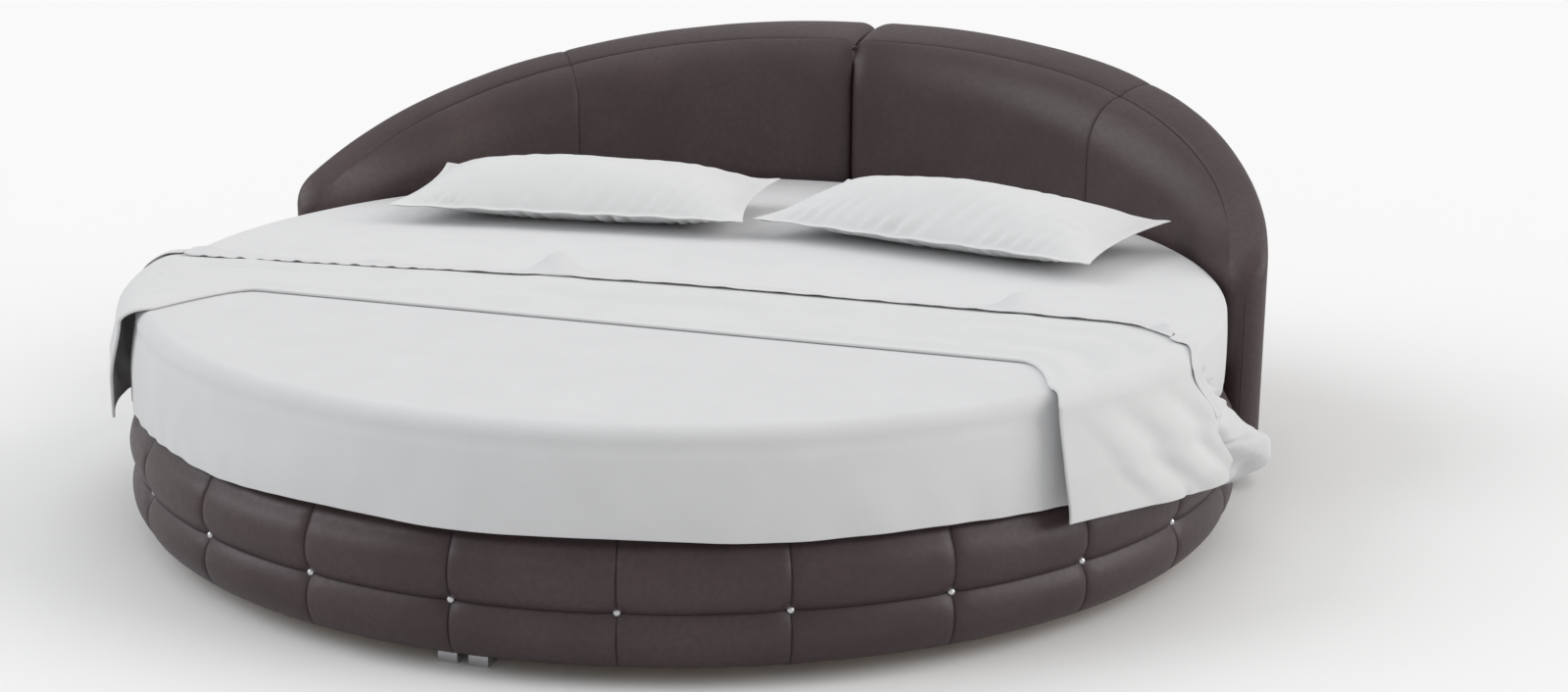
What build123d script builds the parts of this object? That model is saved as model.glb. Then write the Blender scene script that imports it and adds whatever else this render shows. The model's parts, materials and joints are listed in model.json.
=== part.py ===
from build123d import *
import os
from math import cos, radians, sin, sqrt

# A round upholstered bed with a wrap-round headboard in two halves, and its bedding.
# Millimetres. The origin is on the floor under the middle of the round base and +Z is up.
# The foot end lies towards -Y and the headboard towards +Y.
# Angles round the bed are counted in degrees from the foot, positive to the right (+X).
# Right-hand pieces are modelled, and their left-hand twins are mirror images.

os.makedirs("parts", exist_ok=True)

# Driving dimensions: the base
base_radius = 1128.0
base_underside = 34.0
base_top = 264.0
button_height = 132.0
column_angle = 15.0
columns_per_side = 7

# Driving dimensions: the headboard
headboard_inner_radius = 1106.0
back_curve_radius = 1140.0
back_offset = 240.0
wing_angle = 107.6
wing_height = 480.0
crown_height = 813.0
rise_power = 2.1
wing_border = 80.0
crown_border = 222.0
border_power = 1.8

# Driving dimensions: the bedding
mattress_radius = 1096.0
mattress_height = 181.7
sheet_thickness = 2.0
throw_thickness = 6.0
pillow_width = 820.0
pillow_depth = 400.0
pillow_crown = 62.0
pillow_belly = 46.0

# Clearances shared by the whole bed
soft_gap = 0.3
fit_gap = 0.2
overrun = 5.0

# The frame's boards and posts
board = 18.0
skin_board = 8.0
padding = 48.0
hoop_width = 110.0
hoop_underside = 42.0
rail_top = 240.0
post_width = 40.0
post_depth = 60.0
skin_outer = base_radius - padding
skin_inner = skin_outer - skin_board
hoop_inner = skin_inner - hoop_width
post_inner = skin_inner - post_depth
post_middle = skin_inner - post_depth / 2

# Turns, in degrees
half_turn = 180.0
quarter_turn = 90.0


def outwards(angle):
    """Level unit vector that points away from the bed's axis at this angle."""
    return Vector(sin(radians(angle)), -cos(radians(angle)), 0)


def radial_plane(angle):
    """Upright plane through the bed's axis: x points outwards, y points up."""
    return Plane(origin=(0, 0, 0), x_dir=outwards(angle), z_dir=outwards(angle).cross(Vector(0, 0, 1)))


def tangent_plane(angle, radius, height):
    """Plane that faces away from the bed's axis at this radius and height."""
    spot = outwards(angle) * radius + Vector(0, 0, height)
    return Plane(origin=spot, x_dir=outwards(angle + quarter_turn), z_dir=outwards(angle))


def place(angle, radius, height=0.0):
    """Location at this angle and radius, turned so that its x points outwards."""
    spot = outwards(angle) * radius + Vector(0, 0, height)
    return Location(spot, (0, 0, angle - quarter_turn))


def save(piece, name):
    """Label one finished piece and write it."""
    piece.part.label = name
    export_step(piece.part, f"parts/{name}.step")


def save_pair(piece, name):
    """Write the right-hand piece and its mirror image on the left."""
    save(piece, f"{name}_right")
    with BuildPart() as twin:
        add(piece.part)
        mirror(about=Plane.YZ, mode=Mode.REPLACE)
    save(twin, f"{name}_left")


# Frame halves: two hoops, a bent skin and the posts between them
bolt_radius = 4.0
bolt_head_radius = 7.5
bolt_head_height = 5.5
bracket_angles = (122.0, 158.0)
bracket_thickness = 4.0
bracket_width = 60.0
bracket_inner_hole = hoop_inner + hoop_width / 2
bracket_outer_hole = 1165.0
bracket_edge = 22.0


def ring_sector(inner, outer, low, high, start, sweep):
    """Rectangle in an upright plane, turned about the bed's axis."""
    with BuildPart() as sector:
        with BuildSketch(radial_plane(start)):
            with Locations(((inner + outer) / 2, (low + high) / 2)):
                Rectangle(outer - inner, high - low)
        revolve(axis=Axis.Z, revolution_arc=sweep)
    return sector


with BuildPart() as lower_hoop:
    add(ring_sector(hoop_inner, skin_inner, hoop_underside, hoop_underside + board, 0, half_turn).part)
    for bracket_angle in bracket_angles:
        with Locations(place(bracket_angle, bracket_inner_hole, hoop_underside + board)):
            Hole(bolt_radius + fit_gap, depth=board)
save_pair(lower_hoop, "lower_hoop")

upper_hoop = ring_sector(hoop_inner, skin_inner, rail_top - board, rail_top, 0, half_turn)
save_pair(upper_hoop, "upper_hoop")

side_skin = ring_sector(skin_inner, skin_outer, hoop_underside, rail_top, 0, half_turn)
save_pair(side_skin, "side_skin")

joint_bolt_edge = 35.0
joint_bolt_heights = (hoop_underside + board + joint_bolt_edge, rail_top - board - joint_bolt_edge)

with BuildPart() as rail_posts:
    with BuildSketch(Plane.XY.offset(hoop_underside + board)):
        for column in range(1, round(half_turn / column_angle)):
            with Locations(place(column * column_angle, post_inner)):
                Rectangle(post_depth + overrun, post_width, align=(Align.MIN, Align.CENTER))
        for end in (-1, 1):
            with Locations((post_width / 2, end * (post_middle + overrun / 2))):
                Rectangle(post_width, post_depth + overrun)
        Circle(skin_inner, mode=Mode.INTERSECT)
    extrude(amount=rail_top - hoop_underside - 2 * board)
    for end in (-1, 1):
        for height in joint_bolt_heights:
            with Locations(Location((0, end * post_middle, height), (0, quarter_turn, 0))):
                Hole(bolt_radius + fit_gap, depth=2 * post_width)
save_pair(rail_posts, "rail_posts")

# Bolts with their nuts, which clamp the two halves' end posts together
nut_height = 6.5
head_flats = 6
thread_end = 3.0

with BuildPart() as joint_bolts:
    for end in (-1, 1):
        for height in joint_bolt_heights:
            with BuildSketch(Plane(origin=(-post_width, end * post_middle, height), z_dir=(-1, 0, 0))):
                RegularPolygon(bolt_head_radius, head_flats)
            extrude(amount=bolt_head_height)
            with BuildSketch(Plane(origin=(post_width, end * post_middle, height), z_dir=(1, 0, 0))):
                RegularPolygon(bolt_head_radius, head_flats)
            extrude(amount=nut_height)
            with BuildSketch(Plane(origin=(-post_width, end * post_middle, height), z_dir=(1, 0, 0))):
                Circle(bolt_radius)
            extrude(amount=2 * post_width + nut_height + thread_end)
save(joint_bolts, "joint_bolts")

# Beams, their hangers, and the legs under them
beam_width = 60.0
beam_wall = 3.0
beam_drop = 2.0
beam_top = rail_top - board - beam_drop
beam_bottom = beam_top - beam_width
hanger_plate = 4.0
hanger_seat = 50.0
hanger_cheek = 40.0
hanger_width = 76.0
beam_reach = post_inner - hanger_plate


def beam_between(start, end):
    """Square tube with its top at the beams' height, along X in its own frame."""
    middle = (beam_top + beam_bottom) / 2
    with BuildPart() as tube:
        with BuildSketch(Plane(origin=(start, 0, middle), x_dir=(0, 1, 0), z_dir=(1, 0, 0))):
            RectangleRounded(beam_width, beam_width, beam_wall)
            Rectangle(beam_width - 2 * beam_wall, beam_width - 2 * beam_wall, mode=Mode.SUBTRACT)
        extrude(amount=end - start)
    return tube


with BuildPart() as centre_beam:
    add(beam_between(-beam_reach, beam_reach).part.rotate(Axis.Z, quarter_turn))
save(centre_beam, "centre_beam")

cross_beam = beam_between(beam_width / 2, beam_reach)
save_pair(cross_beam, "cross_beam")

with BuildPart() as hanger:
    with BuildSketch(Plane.YZ.offset(post_inner - hanger_plate)):
        with Locations((0, (beam_bottom - hanger_plate + beam_top) / 2)):
            Rectangle(hanger_width, beam_top - beam_bottom + hanger_plate)
    extrude(amount=hanger_plate)
    with BuildSketch(Plane.YZ.offset(beam_reach - hanger_seat)):
        with Locations((0, beam_bottom - hanger_plate)):
            Rectangle(
                beam_width + 2 * hanger_plate, hanger_cheek, align=(Align.CENTER, Align.MIN)
            )
        with Locations((0, beam_bottom)):
            Rectangle(
                beam_width, hanger_cheek, align=(Align.CENTER, Align.MIN), mode=Mode.SUBTRACT
            )
    extrude(amount=hanger_seat)

for turns, side in enumerate(("right", "head", "left", "foot")):
    with BuildPart() as turned_hanger:
        add(hanger.part.rotate(Axis.Z, turns * quarter_turn))
    save(turned_hanger, f"beam_hanger_{side}")

leg_radius = 25.0
leg_wall = 2.5
leg_plate = 80.0
leg_plate_thickness = 4.0
glide_radius = 28.0
glide_height = 6.0
glide_plug = 14.0
leg_spread = 600.0
cross_leg_spread = 560.0
leg_places = {
    "centre": (0, 0),
    "foot_end": (0, -leg_spread),
    "head_end": (0, leg_spread),
    "left": (-cross_leg_spread, 0),
    "right": (cross_leg_spread, 0),
}

for name, (leg_x, leg_y) in leg_places.items():
    with BuildPart() as leg:
        with BuildSketch(Plane(origin=(leg_x, leg_y, glide_height))):
            Circle(leg_radius)
            Circle(leg_radius - leg_wall, mode=Mode.SUBTRACT)
        extrude(amount=beam_bottom - leg_plate_thickness - glide_height)
        with BuildSketch(Plane(origin=(leg_x, leg_y, beam_bottom - leg_plate_thickness))):
            RectangleRounded(leg_plate, leg_plate, leg_plate_thickness)
        extrude(amount=leg_plate_thickness)
    save(leg, f"leg_{name}")

with BuildPart() as leg_glides:
    with Locations(*leg_places.values()):
        Cylinder(glide_radius, glide_height, align=(Align.CENTER, Align.CENTER, Align.MIN))
    with Locations(*[(x, y, glide_height) for x, y in leg_places.values()]):
        plug_radius = leg_radius - leg_wall - fit_gap
        Cylinder(plug_radius, glide_plug, align=(Align.CENTER, Align.CENTER, Align.MIN))
save(leg_glides, "leg_glides")

# Sprung slats in end holders, on a batten over the centre beam and on the upper hoop
batten_width = 60.0
batten_end_gap = 4.0
slat_width = 60.0
slat_thickness = 8.0
slat_pitch = 126.0
slat_rows = 14
holder_length = 28.0
holder_width = 70.0
holder_height = 18.0
holder_floor = 5.0
socket_depth = 24.0
lip_reach = 42.0
cover_lip_inner = skin_inner - lip_reach
mattress_bottom = base_top + soft_gap + sheet_thickness
slat_crown = mattress_bottom - soft_gap

with BuildPart() as centre_batten:
    with BuildSketch(Plane.XY.offset(beam_top)):
        Rectangle(batten_width, 2 * (hoop_inner - batten_end_gap))
    extrude(amount=rail_top - beam_top)
save(centre_batten, "centre_batten")

slat_places = [(row - (slat_rows - 1) / 2) * slat_pitch for row in range(slat_rows)]


def holder_end(slat_y):
    """How far from the middle a row's outer holder ends, just inside the cover's lip."""
    widest = abs(slat_y) + holder_width / 2
    return sqrt((cover_lip_inner - batten_end_gap) ** 2 - widest**2)


with BuildPart() as slat_holders:
    for slat_y in slat_places:
        outer_end = holder_end(slat_y)
        inner_start = batten_width / 2 - holder_length
        for start, mouth in ((inner_start, 1), (outer_end - holder_length, -1)):
            middle = start + holder_length / 2
            with Locations((middle, slat_y, rail_top + holder_height / 2)):
                Box(holder_length, holder_width, holder_height)
            socket_middle = middle + mouth * (holder_length - socket_depth + overrun) / 2
            socket_low = rail_top + holder_floor - fit_gap
            with Locations((socket_middle, slat_y, socket_low)):
                Box(
                    socket_depth + overrun,
                    slat_width + 2 * fit_gap,
                    slat_thickness + 2 * fit_gap,
                    align=(Align.CENTER, Align.CENTER, Align.MIN),
                    mode=Mode.SUBTRACT,
                )
save_pair(slat_holders, "slat_holders")

with BuildPart() as slats:
    for slat_y in slat_places:
        inner_tip = batten_width / 2 - socket_depth + fit_gap
        outer_tip = holder_end(slat_y) - holder_length + socket_depth - fit_gap
        low = rail_top + holder_floor
        middle = (inner_tip + outer_tip) / 2
        with BuildSketch(Plane.XZ.offset(-slat_y)):
            with BuildLine():
                inner_end = inner_tip + socket_depth
                outer_end = outer_tip - socket_depth
                Polyline((inner_end, low + slat_thickness), (inner_tip, low + slat_thickness), (inner_tip, low))
                Line((inner_tip, low), (inner_end, low))
                ThreePointArc((inner_end, low), (middle, slat_crown - slat_thickness), (outer_end, low))
                Polyline((outer_end, low), (outer_tip, low), (outer_tip, low + slat_thickness))
                Line((outer_tip, low + slat_thickness), (outer_end, low + slat_thickness))
                ThreePointArc(
                    (outer_end, low + slat_thickness), (middle, slat_crown), (inner_end, low + slat_thickness)
                )
            make_face()
        extrude(amount=slat_width / 2, both=True)
save_pair(slats, "slats")

# Feet: square metal blocks with a fixing plate, under the base and under the headboard
foot_size = 38.0
foot_gap = 20.0
foot_plate_thickness = 4.0
foot_plate_length = 54.0
foot_edge = 2.0


def foot_block():
    """One foot in its own frame, its sole at height zero and its plate along x."""
    with BuildPart() as foot:
        with BuildSketch():
            Rectangle(foot_size, foot_size)
        extrude(amount=hoop_underside)
        fillet(foot.edges().filter_by(Axis.Z), foot_edge)
        chamfer(foot.faces().sort_by(Axis.Z)[0].edges(), foot_edge / 2)
        with BuildSketch(Plane.XY.offset(hoop_underside - foot_plate_thickness)):
            RectangleRounded(foot_plate_length, foot_size, foot_edge)
        extrude(amount=foot_plate_thickness)
    return foot


front_foot_setback = 3.0
front_foot_radius = skin_inner - foot_size / 2 - front_foot_setback
inner_foot_radius = hoop_inner + hoop_width / 2
headboard_foot_radius = 1168.0
side_foot_angle = 98.0
wing_foot_angle = 114.0
back_foot_angle = 170.0
foot_places = {
    "foot_front": Location(((foot_gap + foot_size) / 2, -front_foot_radius, 0)),
    "foot_side": place(side_foot_angle, inner_foot_radius),
    "foot_wing": place(wing_foot_angle, headboard_foot_radius),
    "foot_headboard": place(back_foot_angle, headboard_foot_radius),
}
for name, location in foot_places.items():
    with BuildPart() as foot:
        add(foot_block().part.moved(location))
    save_pair(foot, name)

# The base's leather cover: two rows of tufted panels, drawn in at seams and buttons
crease_depth = 17.0
seam_depth = 6.0
lower_bulge_height = 88.0
upper_bulge_height = 176.0
upper_turn_height = 226.0
upper_turn_depth = 16.0
bottom_tuck = 26.0
top_tuck = 62.0
lip_turn_height = 252.0
lip_turn_depth = 34.0
button_radius = 7.0
button_dome = 4.5
shank_radius = 2.0
shank_length = 10.0
button_seat = base_radius - crease_depth - seam_depth / 2


def cover_section(angle, draw):
    """Section of the cover in an upright plane, drawn in by so much at a seam."""
    lip = base_radius - top_tuck
    with BuildSketch(radial_plane(angle)) as section:
        with BuildLine():
            crease = (base_radius - crease_depth - draw / 2, button_height)
            turn = (base_radius - upper_turn_depth - draw, upper_turn_height)
            ThreePointArc(
                (base_radius - bottom_tuck, base_underside),
                (base_radius - draw, lower_bulge_height),
                crease,
            )
            ThreePointArc(crease, (base_radius - draw, upper_bulge_height), turn)
            ThreePointArc(turn, (base_radius - lip_turn_depth - draw, lip_turn_height), (lip, base_top))
            Polyline(
                (lip, base_top),
                (cover_lip_inner, base_top),
                (cover_lip_inner, rail_top),
                (skin_outer - overrun, rail_top),
                (skin_outer - overrun, base_underside),
                (base_radius - bottom_tuck, base_underside),
            )
        make_face()
    return section


with BuildPart() as base_cover:
    for column in range(columns_per_side):
        start = column * column_angle
        with BuildPart(mode=Mode.PRIVATE) as panel:
            add(cover_section(start, seam_depth).sketch)
            add(cover_section(start + column_angle / 2, 0).sketch)
            add(cover_section(start + column_angle, seam_depth).sketch)
            loft()
        add(panel.part)
    add(ring_sector(post_middle, skin_outer, 0, rail_top, -column_angle, half_turn).part, mode=Mode.SUBTRACT)
    for column in range(columns_per_side):
        with BuildSketch(tangent_plane(column * column_angle, button_seat, button_height)):
            Circle(button_radius + fit_gap)
        extrude(amount=crease_depth + overrun, mode=Mode.SUBTRACT)
        with BuildSketch(tangent_plane(column * column_angle, button_seat, button_height)):
            Circle(shank_radius + fit_gap)
        extrude(amount=-shank_length - fit_gap, mode=Mode.SUBTRACT)
save_pair(base_cover, "base_cover")

back_cover_outer = headboard_inner_radius - soft_gap
back_cover_start = columns_per_side * column_angle

with BuildPart() as back_cover:
    with BuildSketch(radial_plane(back_cover_start)):
        with BuildLine():
            Polyline(
                (skin_outer, hoop_underside),
                (back_cover_outer, hoop_underside),
                (back_cover_outer, base_top),
                (cover_lip_inner, base_top),
                (cover_lip_inner, rail_top),
                (skin_outer, rail_top),
                close=True,
            )
        make_face()
    revolve(axis=Axis.Z, revolution_arc=half_turn - back_cover_start)
save_pair(back_cover, "back_cover")

with BuildPart() as tuft_button:
    with BuildSketch(Plane.XZ):
        with BuildLine():
            TangentArc((button_dome, 0), (0, button_radius), tangent=(0, 1))
            Polyline(
                (button_dome, 0),
                (-shank_length, 0),
                (-shank_length, shank_radius),
                (0, shank_radius),
                (0, button_radius),
            )
        make_face()
    revolve(axis=Axis.X)

with BuildPart() as tuft_buttons:
    for column in range(1 - columns_per_side, columns_per_side):
        add(tuft_button.part.moved(place(column * column_angle, button_seat, button_height)))
save(tuft_buttons, "tuft_buttons")

# Headboard: a crescent in plan, thin at the wings and deep at the back, in two halves
seam_drop = 20.0
face_roll = 126.0
wing_round = 20.0
crown_round = 58.0
border_crown = 5.0
middle_gap = 3.0
face_seam_angle = 145.0
face_seam_depth = 3.0
face_foam = 30.0
top_foam = 46.0
back_rim = 70.0
rim_depth = 52.0
panel_thickness = 12.0
rib_angles = (119.0, 132.0, 145.0, 158.0, 171.0)
rib_gap = 4.0
cavity_angles = (114.0, 124.0, 135.0, 146.0, 157.0, 168.0, 177.5)


def back_radius(angle):
    """Distance from the bed's axis to the headboard's rear face, an arc set back from the bed's."""
    across = back_offset * sin(radians(angle))
    return -back_offset * cos(radians(angle)) + sqrt(back_curve_radius**2 - across**2)


def rise(angle):
    """Share of the way from the wing's end to the middle of the back."""
    return (angle - wing_angle) / (half_turn - wing_angle)


def top_height(angle):
    """Height of the headboard's top edge."""
    return crown_height - (crown_height - wing_height) * (1 - rise(angle)) ** rise_power


def border_width(angle):
    """Width of the border along the top edge, seen from above."""
    return wing_border + (crown_border - wing_border) * rise(angle) ** border_power


def top_round(angle):
    """Radius of the rounding between the border and the rear face."""
    return wing_round + (crown_round - wing_round) * rise(angle)


def pad_section(angle, inset):
    """Section of the padded headboard in an upright plane, smaller all round by the inset."""
    inner = headboard_inner_radius + inset
    outer = back_radius(angle) - inset
    top = top_height(angle) - inset
    seam = (back_radius(angle) - border_width(angle) + inset, top - seam_drop)
    rounding = top_round(angle)
    brow = (outer - rounding, top)
    with BuildSketch(radial_plane(angle)) as section:
        with BuildLine():
            Line((inner, hoop_underside), (inner, seam[1] - face_roll))
            TangentArc((inner, seam[1] - face_roll), seam, tangent=(0, 1))
            ThreePointArc(seam, ((seam[0] + brow[0]) / 2, top - seam_drop / 2 + border_crown), brow)
            TangentArc(brow, (outer, top - rounding), tangent=(1, 0))
            Polyline((outer, top - rounding), (outer, hoop_underside), (inner, hoop_underside))
        make_face()
    return section


def pad_between(stations):
    """Loft through pad sections, each at an angle and with an inset."""
    with BuildPart() as run:
        for angle, inset in stations:
            add(pad_section(angle, inset).sketch)
        loft()
    return run


def cavity_section(angle):
    """Hollow behind the padding, open at the back and at the bottom."""
    inner = headboard_inner_radius + face_foam
    outer = back_radius(angle) + overrun
    top = top_height(angle)
    with BuildSketch(radial_plane(angle)) as section:
        with BuildLine():
            Polyline(
                (inner, hoop_underside - overrun),
                (inner, top - seam_drop - face_roll),
                (back_radius(angle) - rim_depth, top - top_foam),
                (outer, top - back_rim),
                (outer, hoop_underside - overrun),
                close=True,
            )
        make_face()
    return section


end_turn = 1.6
tip_turn = 0.5
wing_tip_inset = 20.0
middle_tip_inset = 22.0
tip_inset = 8.0
outer_steps = (0.0, 9.0, 18.0, 27.0)
inner_steps = (25.0, 16.0, 8.0, 0.0)
inner_end_angle = half_turn - middle_gap / 2 / back_curve_radius / radians(1)
wing_stations = (
    (wing_angle, wing_tip_inset),
    (wing_angle + tip_turn, tip_inset),
    (wing_angle + end_turn, 0.0),
)
outer_stations = tuple((wing_angle + end_turn + step, 0.0) for step in outer_steps)
outer_stations += ((face_seam_angle, face_seam_depth),)
inner_stations = ((face_seam_angle, face_seam_depth),)
inner_stations += tuple((inner_end_angle - end_turn - step, 0.0) for step in inner_steps)
end_stations = (
    (inner_end_angle - end_turn, 0.0),
    (inner_end_angle - tip_turn, tip_inset),
    (inner_end_angle, middle_tip_inset),
)

with BuildPart() as cavity:
    for angle in cavity_angles:
        add(cavity_section(angle).sketch)
    loft()

with BuildPart() as headboard_pad:
    add(pad_between(wing_stations).part)
    add(pad_between(outer_stations).part)
    add(pad_between(inner_stations).part)
    add(pad_between(end_stations).part)
    add(cavity.part, mode=Mode.SUBTRACT)
save_pair(headboard_pad, "headboard_pad")

with BuildPart() as back_panel:
    for angle in cavity_angles:
        outer = back_radius(angle)
        with BuildSketch(radial_plane(angle)):
            with BuildLine():
                Polyline(
                    (outer - panel_thickness, hoop_underside),
                    (outer, hoop_underside),
                    (outer, top_height(angle) - back_rim - fit_gap),
                    (outer - panel_thickness, top_height(angle) - back_rim - fit_gap),
                    close=True,
                )
            make_face()
    loft()
save_pair(back_panel, "headboard_back_panel")

with BuildPart() as bottom_rail:
    for angle in cavity_angles:
        with BuildSketch(radial_plane(angle)):
            with BuildLine():
                inner = headboard_inner_radius + face_foam
                outer = back_radius(angle) - panel_thickness
                Polyline(
                    (inner, hoop_underside),
                    (outer, hoop_underside),
                    (outer, hoop_underside + board),
                    (inner, hoop_underside + board),
                    close=True,
                )
            make_face()
    loft()
    for bracket_angle in bracket_angles:
        with Locations(place(bracket_angle, bracket_outer_hole, hoop_underside + board)):
            Hole(bolt_radius + fit_gap, depth=board)
save_pair(bottom_rail, "headboard_bottom_rail")

with BuildPart() as ribs:
    for angle in rib_angles:
        with BuildSketch(radial_plane(angle)):
            with BuildLine():
                inner = headboard_inner_radius + face_foam + rib_gap / 2
                outer = back_radius(angle) - panel_thickness - rib_gap
                top = top_height(angle) - rib_gap
                Polyline(
                    (inner, hoop_underside + board),
                    (inner, top - seam_drop - face_roll),
                    (back_radius(angle) - rim_depth - rib_gap, top - top_foam - rib_gap),
                    (outer, top - back_rim),
                    (outer, hoop_underside + board),
                    close=True,
                )
            make_face()
        extrude(amount=board / 2, both=True)
save_pair(ribs, "headboard_ribs")

# Brackets under the bed, from the base's lower hoop to the headboard's bottom rail
for place_name, bracket_angle in zip(("side", "back"), bracket_angles):
    with BuildPart() as bracket:
        start = bracket_inner_hole - bracket_edge
        end = bracket_outer_hole + bracket_edge
        with Locations(place(bracket_angle, (start + end) / 2, hoop_underside - bracket_thickness)):
            Box(
                end - start,
                bracket_width,
                bracket_thickness,
                align=(Align.CENTER, Align.CENTER, Align.MIN),
            )
        for hole in (bracket_inner_hole, bracket_outer_hole):
            with Locations(place(bracket_angle, hole, hoop_underside)):
                Hole(bolt_radius + fit_gap, depth=bracket_thickness)
    save_pair(bracket, f"headboard_bracket_{place_name}")

with BuildPart() as bracket_bolts:
    for side in (-1, 1):
        for bracket_angle in bracket_angles:
            for hole in (bracket_inner_hole, bracket_outer_hole):
                spot = outwards(side * bracket_angle) * hole
                with BuildSketch(Plane(origin=spot + Vector(0, 0, hoop_underside - bracket_thickness))):
                    RegularPolygon(bolt_head_radius, head_flats)
                extrude(amount=-bolt_head_height)
                with BuildSketch(Plane(origin=spot + Vector(0, 0, hoop_underside - bracket_thickness))):
                    Circle(bolt_radius)
                extrude(amount=bracket_thickness + board)
save(bracket_bolts, "bracket_bolts")

# Mattress, and the fitted sheet drawn round it and under its edge
mattress_top = mattress_bottom + mattress_height
edge_round = 26.0
side_bulge = 3.0
sheet_tuck = 50.0

with BuildPart() as mattress:
    with BuildSketch(Plane.XZ):
        with BuildLine():
            edge = mattress_radius - edge_round
            Line((0, mattress_bottom), (edge, mattress_bottom))
            TangentArc((edge, mattress_bottom), (mattress_radius, mattress_bottom + edge_round), tangent=(1, 0))
            ThreePointArc(
                (mattress_radius, mattress_bottom + edge_round),
                (mattress_radius + side_bulge, mattress_bottom + mattress_height / 2),
                (mattress_radius, mattress_top - edge_round),
            )
            TangentArc((mattress_radius, mattress_top - edge_round), (edge, mattress_top), tangent=(0, 1))
            Polyline((edge, mattress_top), (0, mattress_top), (0, mattress_bottom))
        make_face()
    revolve(axis=Axis.Z)
save(mattress, "mattress")

with BuildPart() as fitted_sheet:
    with BuildSketch(Plane.XZ):
        with BuildLine():
            edge = mattress_radius - edge_round
            out = mattress_radius + sheet_thickness
            low = mattress_bottom - sheet_thickness
            high = mattress_top + sheet_thickness
            Line((0, high), (edge, high))
            TangentArc((edge, high), (out, mattress_top - edge_round), tangent=(1, 0))
            ThreePointArc(
                (out, mattress_top - edge_round),
                (out + side_bulge, mattress_bottom + mattress_height / 2),
                (out, mattress_bottom + edge_round),
            )
            TangentArc((out, mattress_bottom + edge_round), (edge, low), tangent=(0, -1))
            Polyline((edge, low), (edge - sheet_tuck, low), (edge - sheet_tuck, mattress_bottom))
            Line((edge - sheet_tuck, mattress_bottom), (edge, mattress_bottom))
            TangentArc((edge, mattress_bottom), (mattress_radius, mattress_bottom + edge_round), tangent=(1, 0))
            ThreePointArc(
                (mattress_radius, mattress_bottom + edge_round),
                (mattress_radius + side_bulge, mattress_bottom + mattress_height / 2),
                (mattress_radius, mattress_top - edge_round),
            )
            TangentArc((mattress_radius, mattress_top - edge_round), (edge, mattress_top), tangent=(0, 1))
            Polyline((edge, mattress_top), (0, mattress_top), (0, high))
        make_face()
    revolve(axis=Axis.Z)
save(fitted_sheet, "fitted_sheet")

# Top sheet over the foot half: flat on top, hanging to a softly waved hem
cloth_edge = mattress_radius - edge_round
cloth_overlap = 4.0
cloth_sections = 16
fold_turn = 72.0
sheet_level = mattress_top + sheet_thickness + soft_gap
sheet_hang_end = 76.5
sheet_shoulder = mattress_radius + side_bulge + sheet_thickness + soft_gap
sheet_belly_reach = 14.0
sheet_belly = sheet_shoulder + sheet_belly_reach
sheet_belly_height = 305.0
sheet_hem_height = 248.0
sheet_edge_middle = 45.0
sheet_edge_side = 205.0
sheet_reach = mattress_radius + sheet_edge_side
scallop_angle = 14.0
scallop_radius = 260.0
scallop_rise = 8.0
strip_angles = (77.8, 79.0)
strip_leans = (34.5, 43.0)
strip_hem_heights = (128.0, 112.0)
strip_reach = 36.0
strip_hem_radius = base_radius + strip_reach
strip_fold = 5.0


def cloth_section(plane, thickness, level, start, shoulder, belly, hem):
    """Section of cloth that lies on the mattress, turns over its edge and hangs to a hem."""
    drop = level - edge_round
    with BuildSketch(plane) as section:
        with BuildLine():
            Line((start, level), (cloth_edge, level))
            TangentArc((cloth_edge, level), (shoulder, drop), tangent=(1, 0))
            ThreePointArc((shoulder, drop), belly, hem)
            Line(hem, (hem[0] + thickness, hem[1]))
            ThreePointArc(
                (hem[0] + thickness, hem[1]), (belly[0] + thickness, belly[1]), (shoulder + thickness, drop)
            )
            TangentArc((cloth_edge, level + thickness), (shoulder + thickness, drop), tangent=(1, 0))
            Polyline((cloth_edge, level + thickness), (start, level + thickness), (start, level))
        make_face()
    return section


def leaning_plane(angle, level, lean):
    """Plane through the bed's axis at this level, leaning sideways by so many degrees."""
    upwards = outwards(angle + quarter_turn) * -sin(radians(lean)) + Vector(0, 0, cos(radians(lean)))
    return Plane(origin=(0, 0, level), x_dir=outwards(angle), z_dir=outwards(angle).cross(upwards))


def cloth_drop(level, thickness, angles, leans, hems, shoulder, belly, hem_radius, fold):
    """End of a cloth that hangs over the edge, its folds spreading towards the hem."""
    with BuildPart() as drop:
        for step in range(cloth_sections):
            along = step / (cloth_sections - 1)
            lean = leans[0] + (leans[1] - leans[0]) * along
            hem_height = hems[0] + (hems[1] - hems[0]) * along
            swing = fold * cos(radians(fold_turn * step))
            section = cloth_section(
                leaning_plane(angles[0] + (angles[1] - angles[0]) * along, level, lean),
                thickness,
                0,
                cloth_edge - cloth_overlap,
                shoulder,
                (belly[0] + swing / 2, belly[1] - level),
                (hem_radius + swing, (hem_height - level) / cos(radians(lean))),
            )
            add(section.sketch)
        loft(ruled=True)
    return drop


with BuildPart() as scallops:
    for step in range(-round(sheet_hang_end / scallop_angle), round(sheet_hang_end / scallop_angle) + 1):
        centre = sheet_hem_height + scallop_rise - scallop_radius
        with BuildSketch(tangent_plane(step * scallop_angle, sheet_shoulder - edge_round, centre)):
            Circle(scallop_radius)
        extrude(amount=2 * edge_round)

with BuildPart() as sheet_hang:
    hang_section = cloth_section(
        radial_plane(-sheet_hang_end),
        sheet_thickness,
        sheet_level,
        0,
        sheet_shoulder,
        (sheet_belly, sheet_belly_height),
        (sheet_shoulder, sheet_hem_height),
    )
    add(hang_section.sketch)
    revolve(axis=Axis.Z, revolution_arc=2 * sheet_hang_end)
    add(scallops.part, mode=Mode.SUBTRACT)

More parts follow.
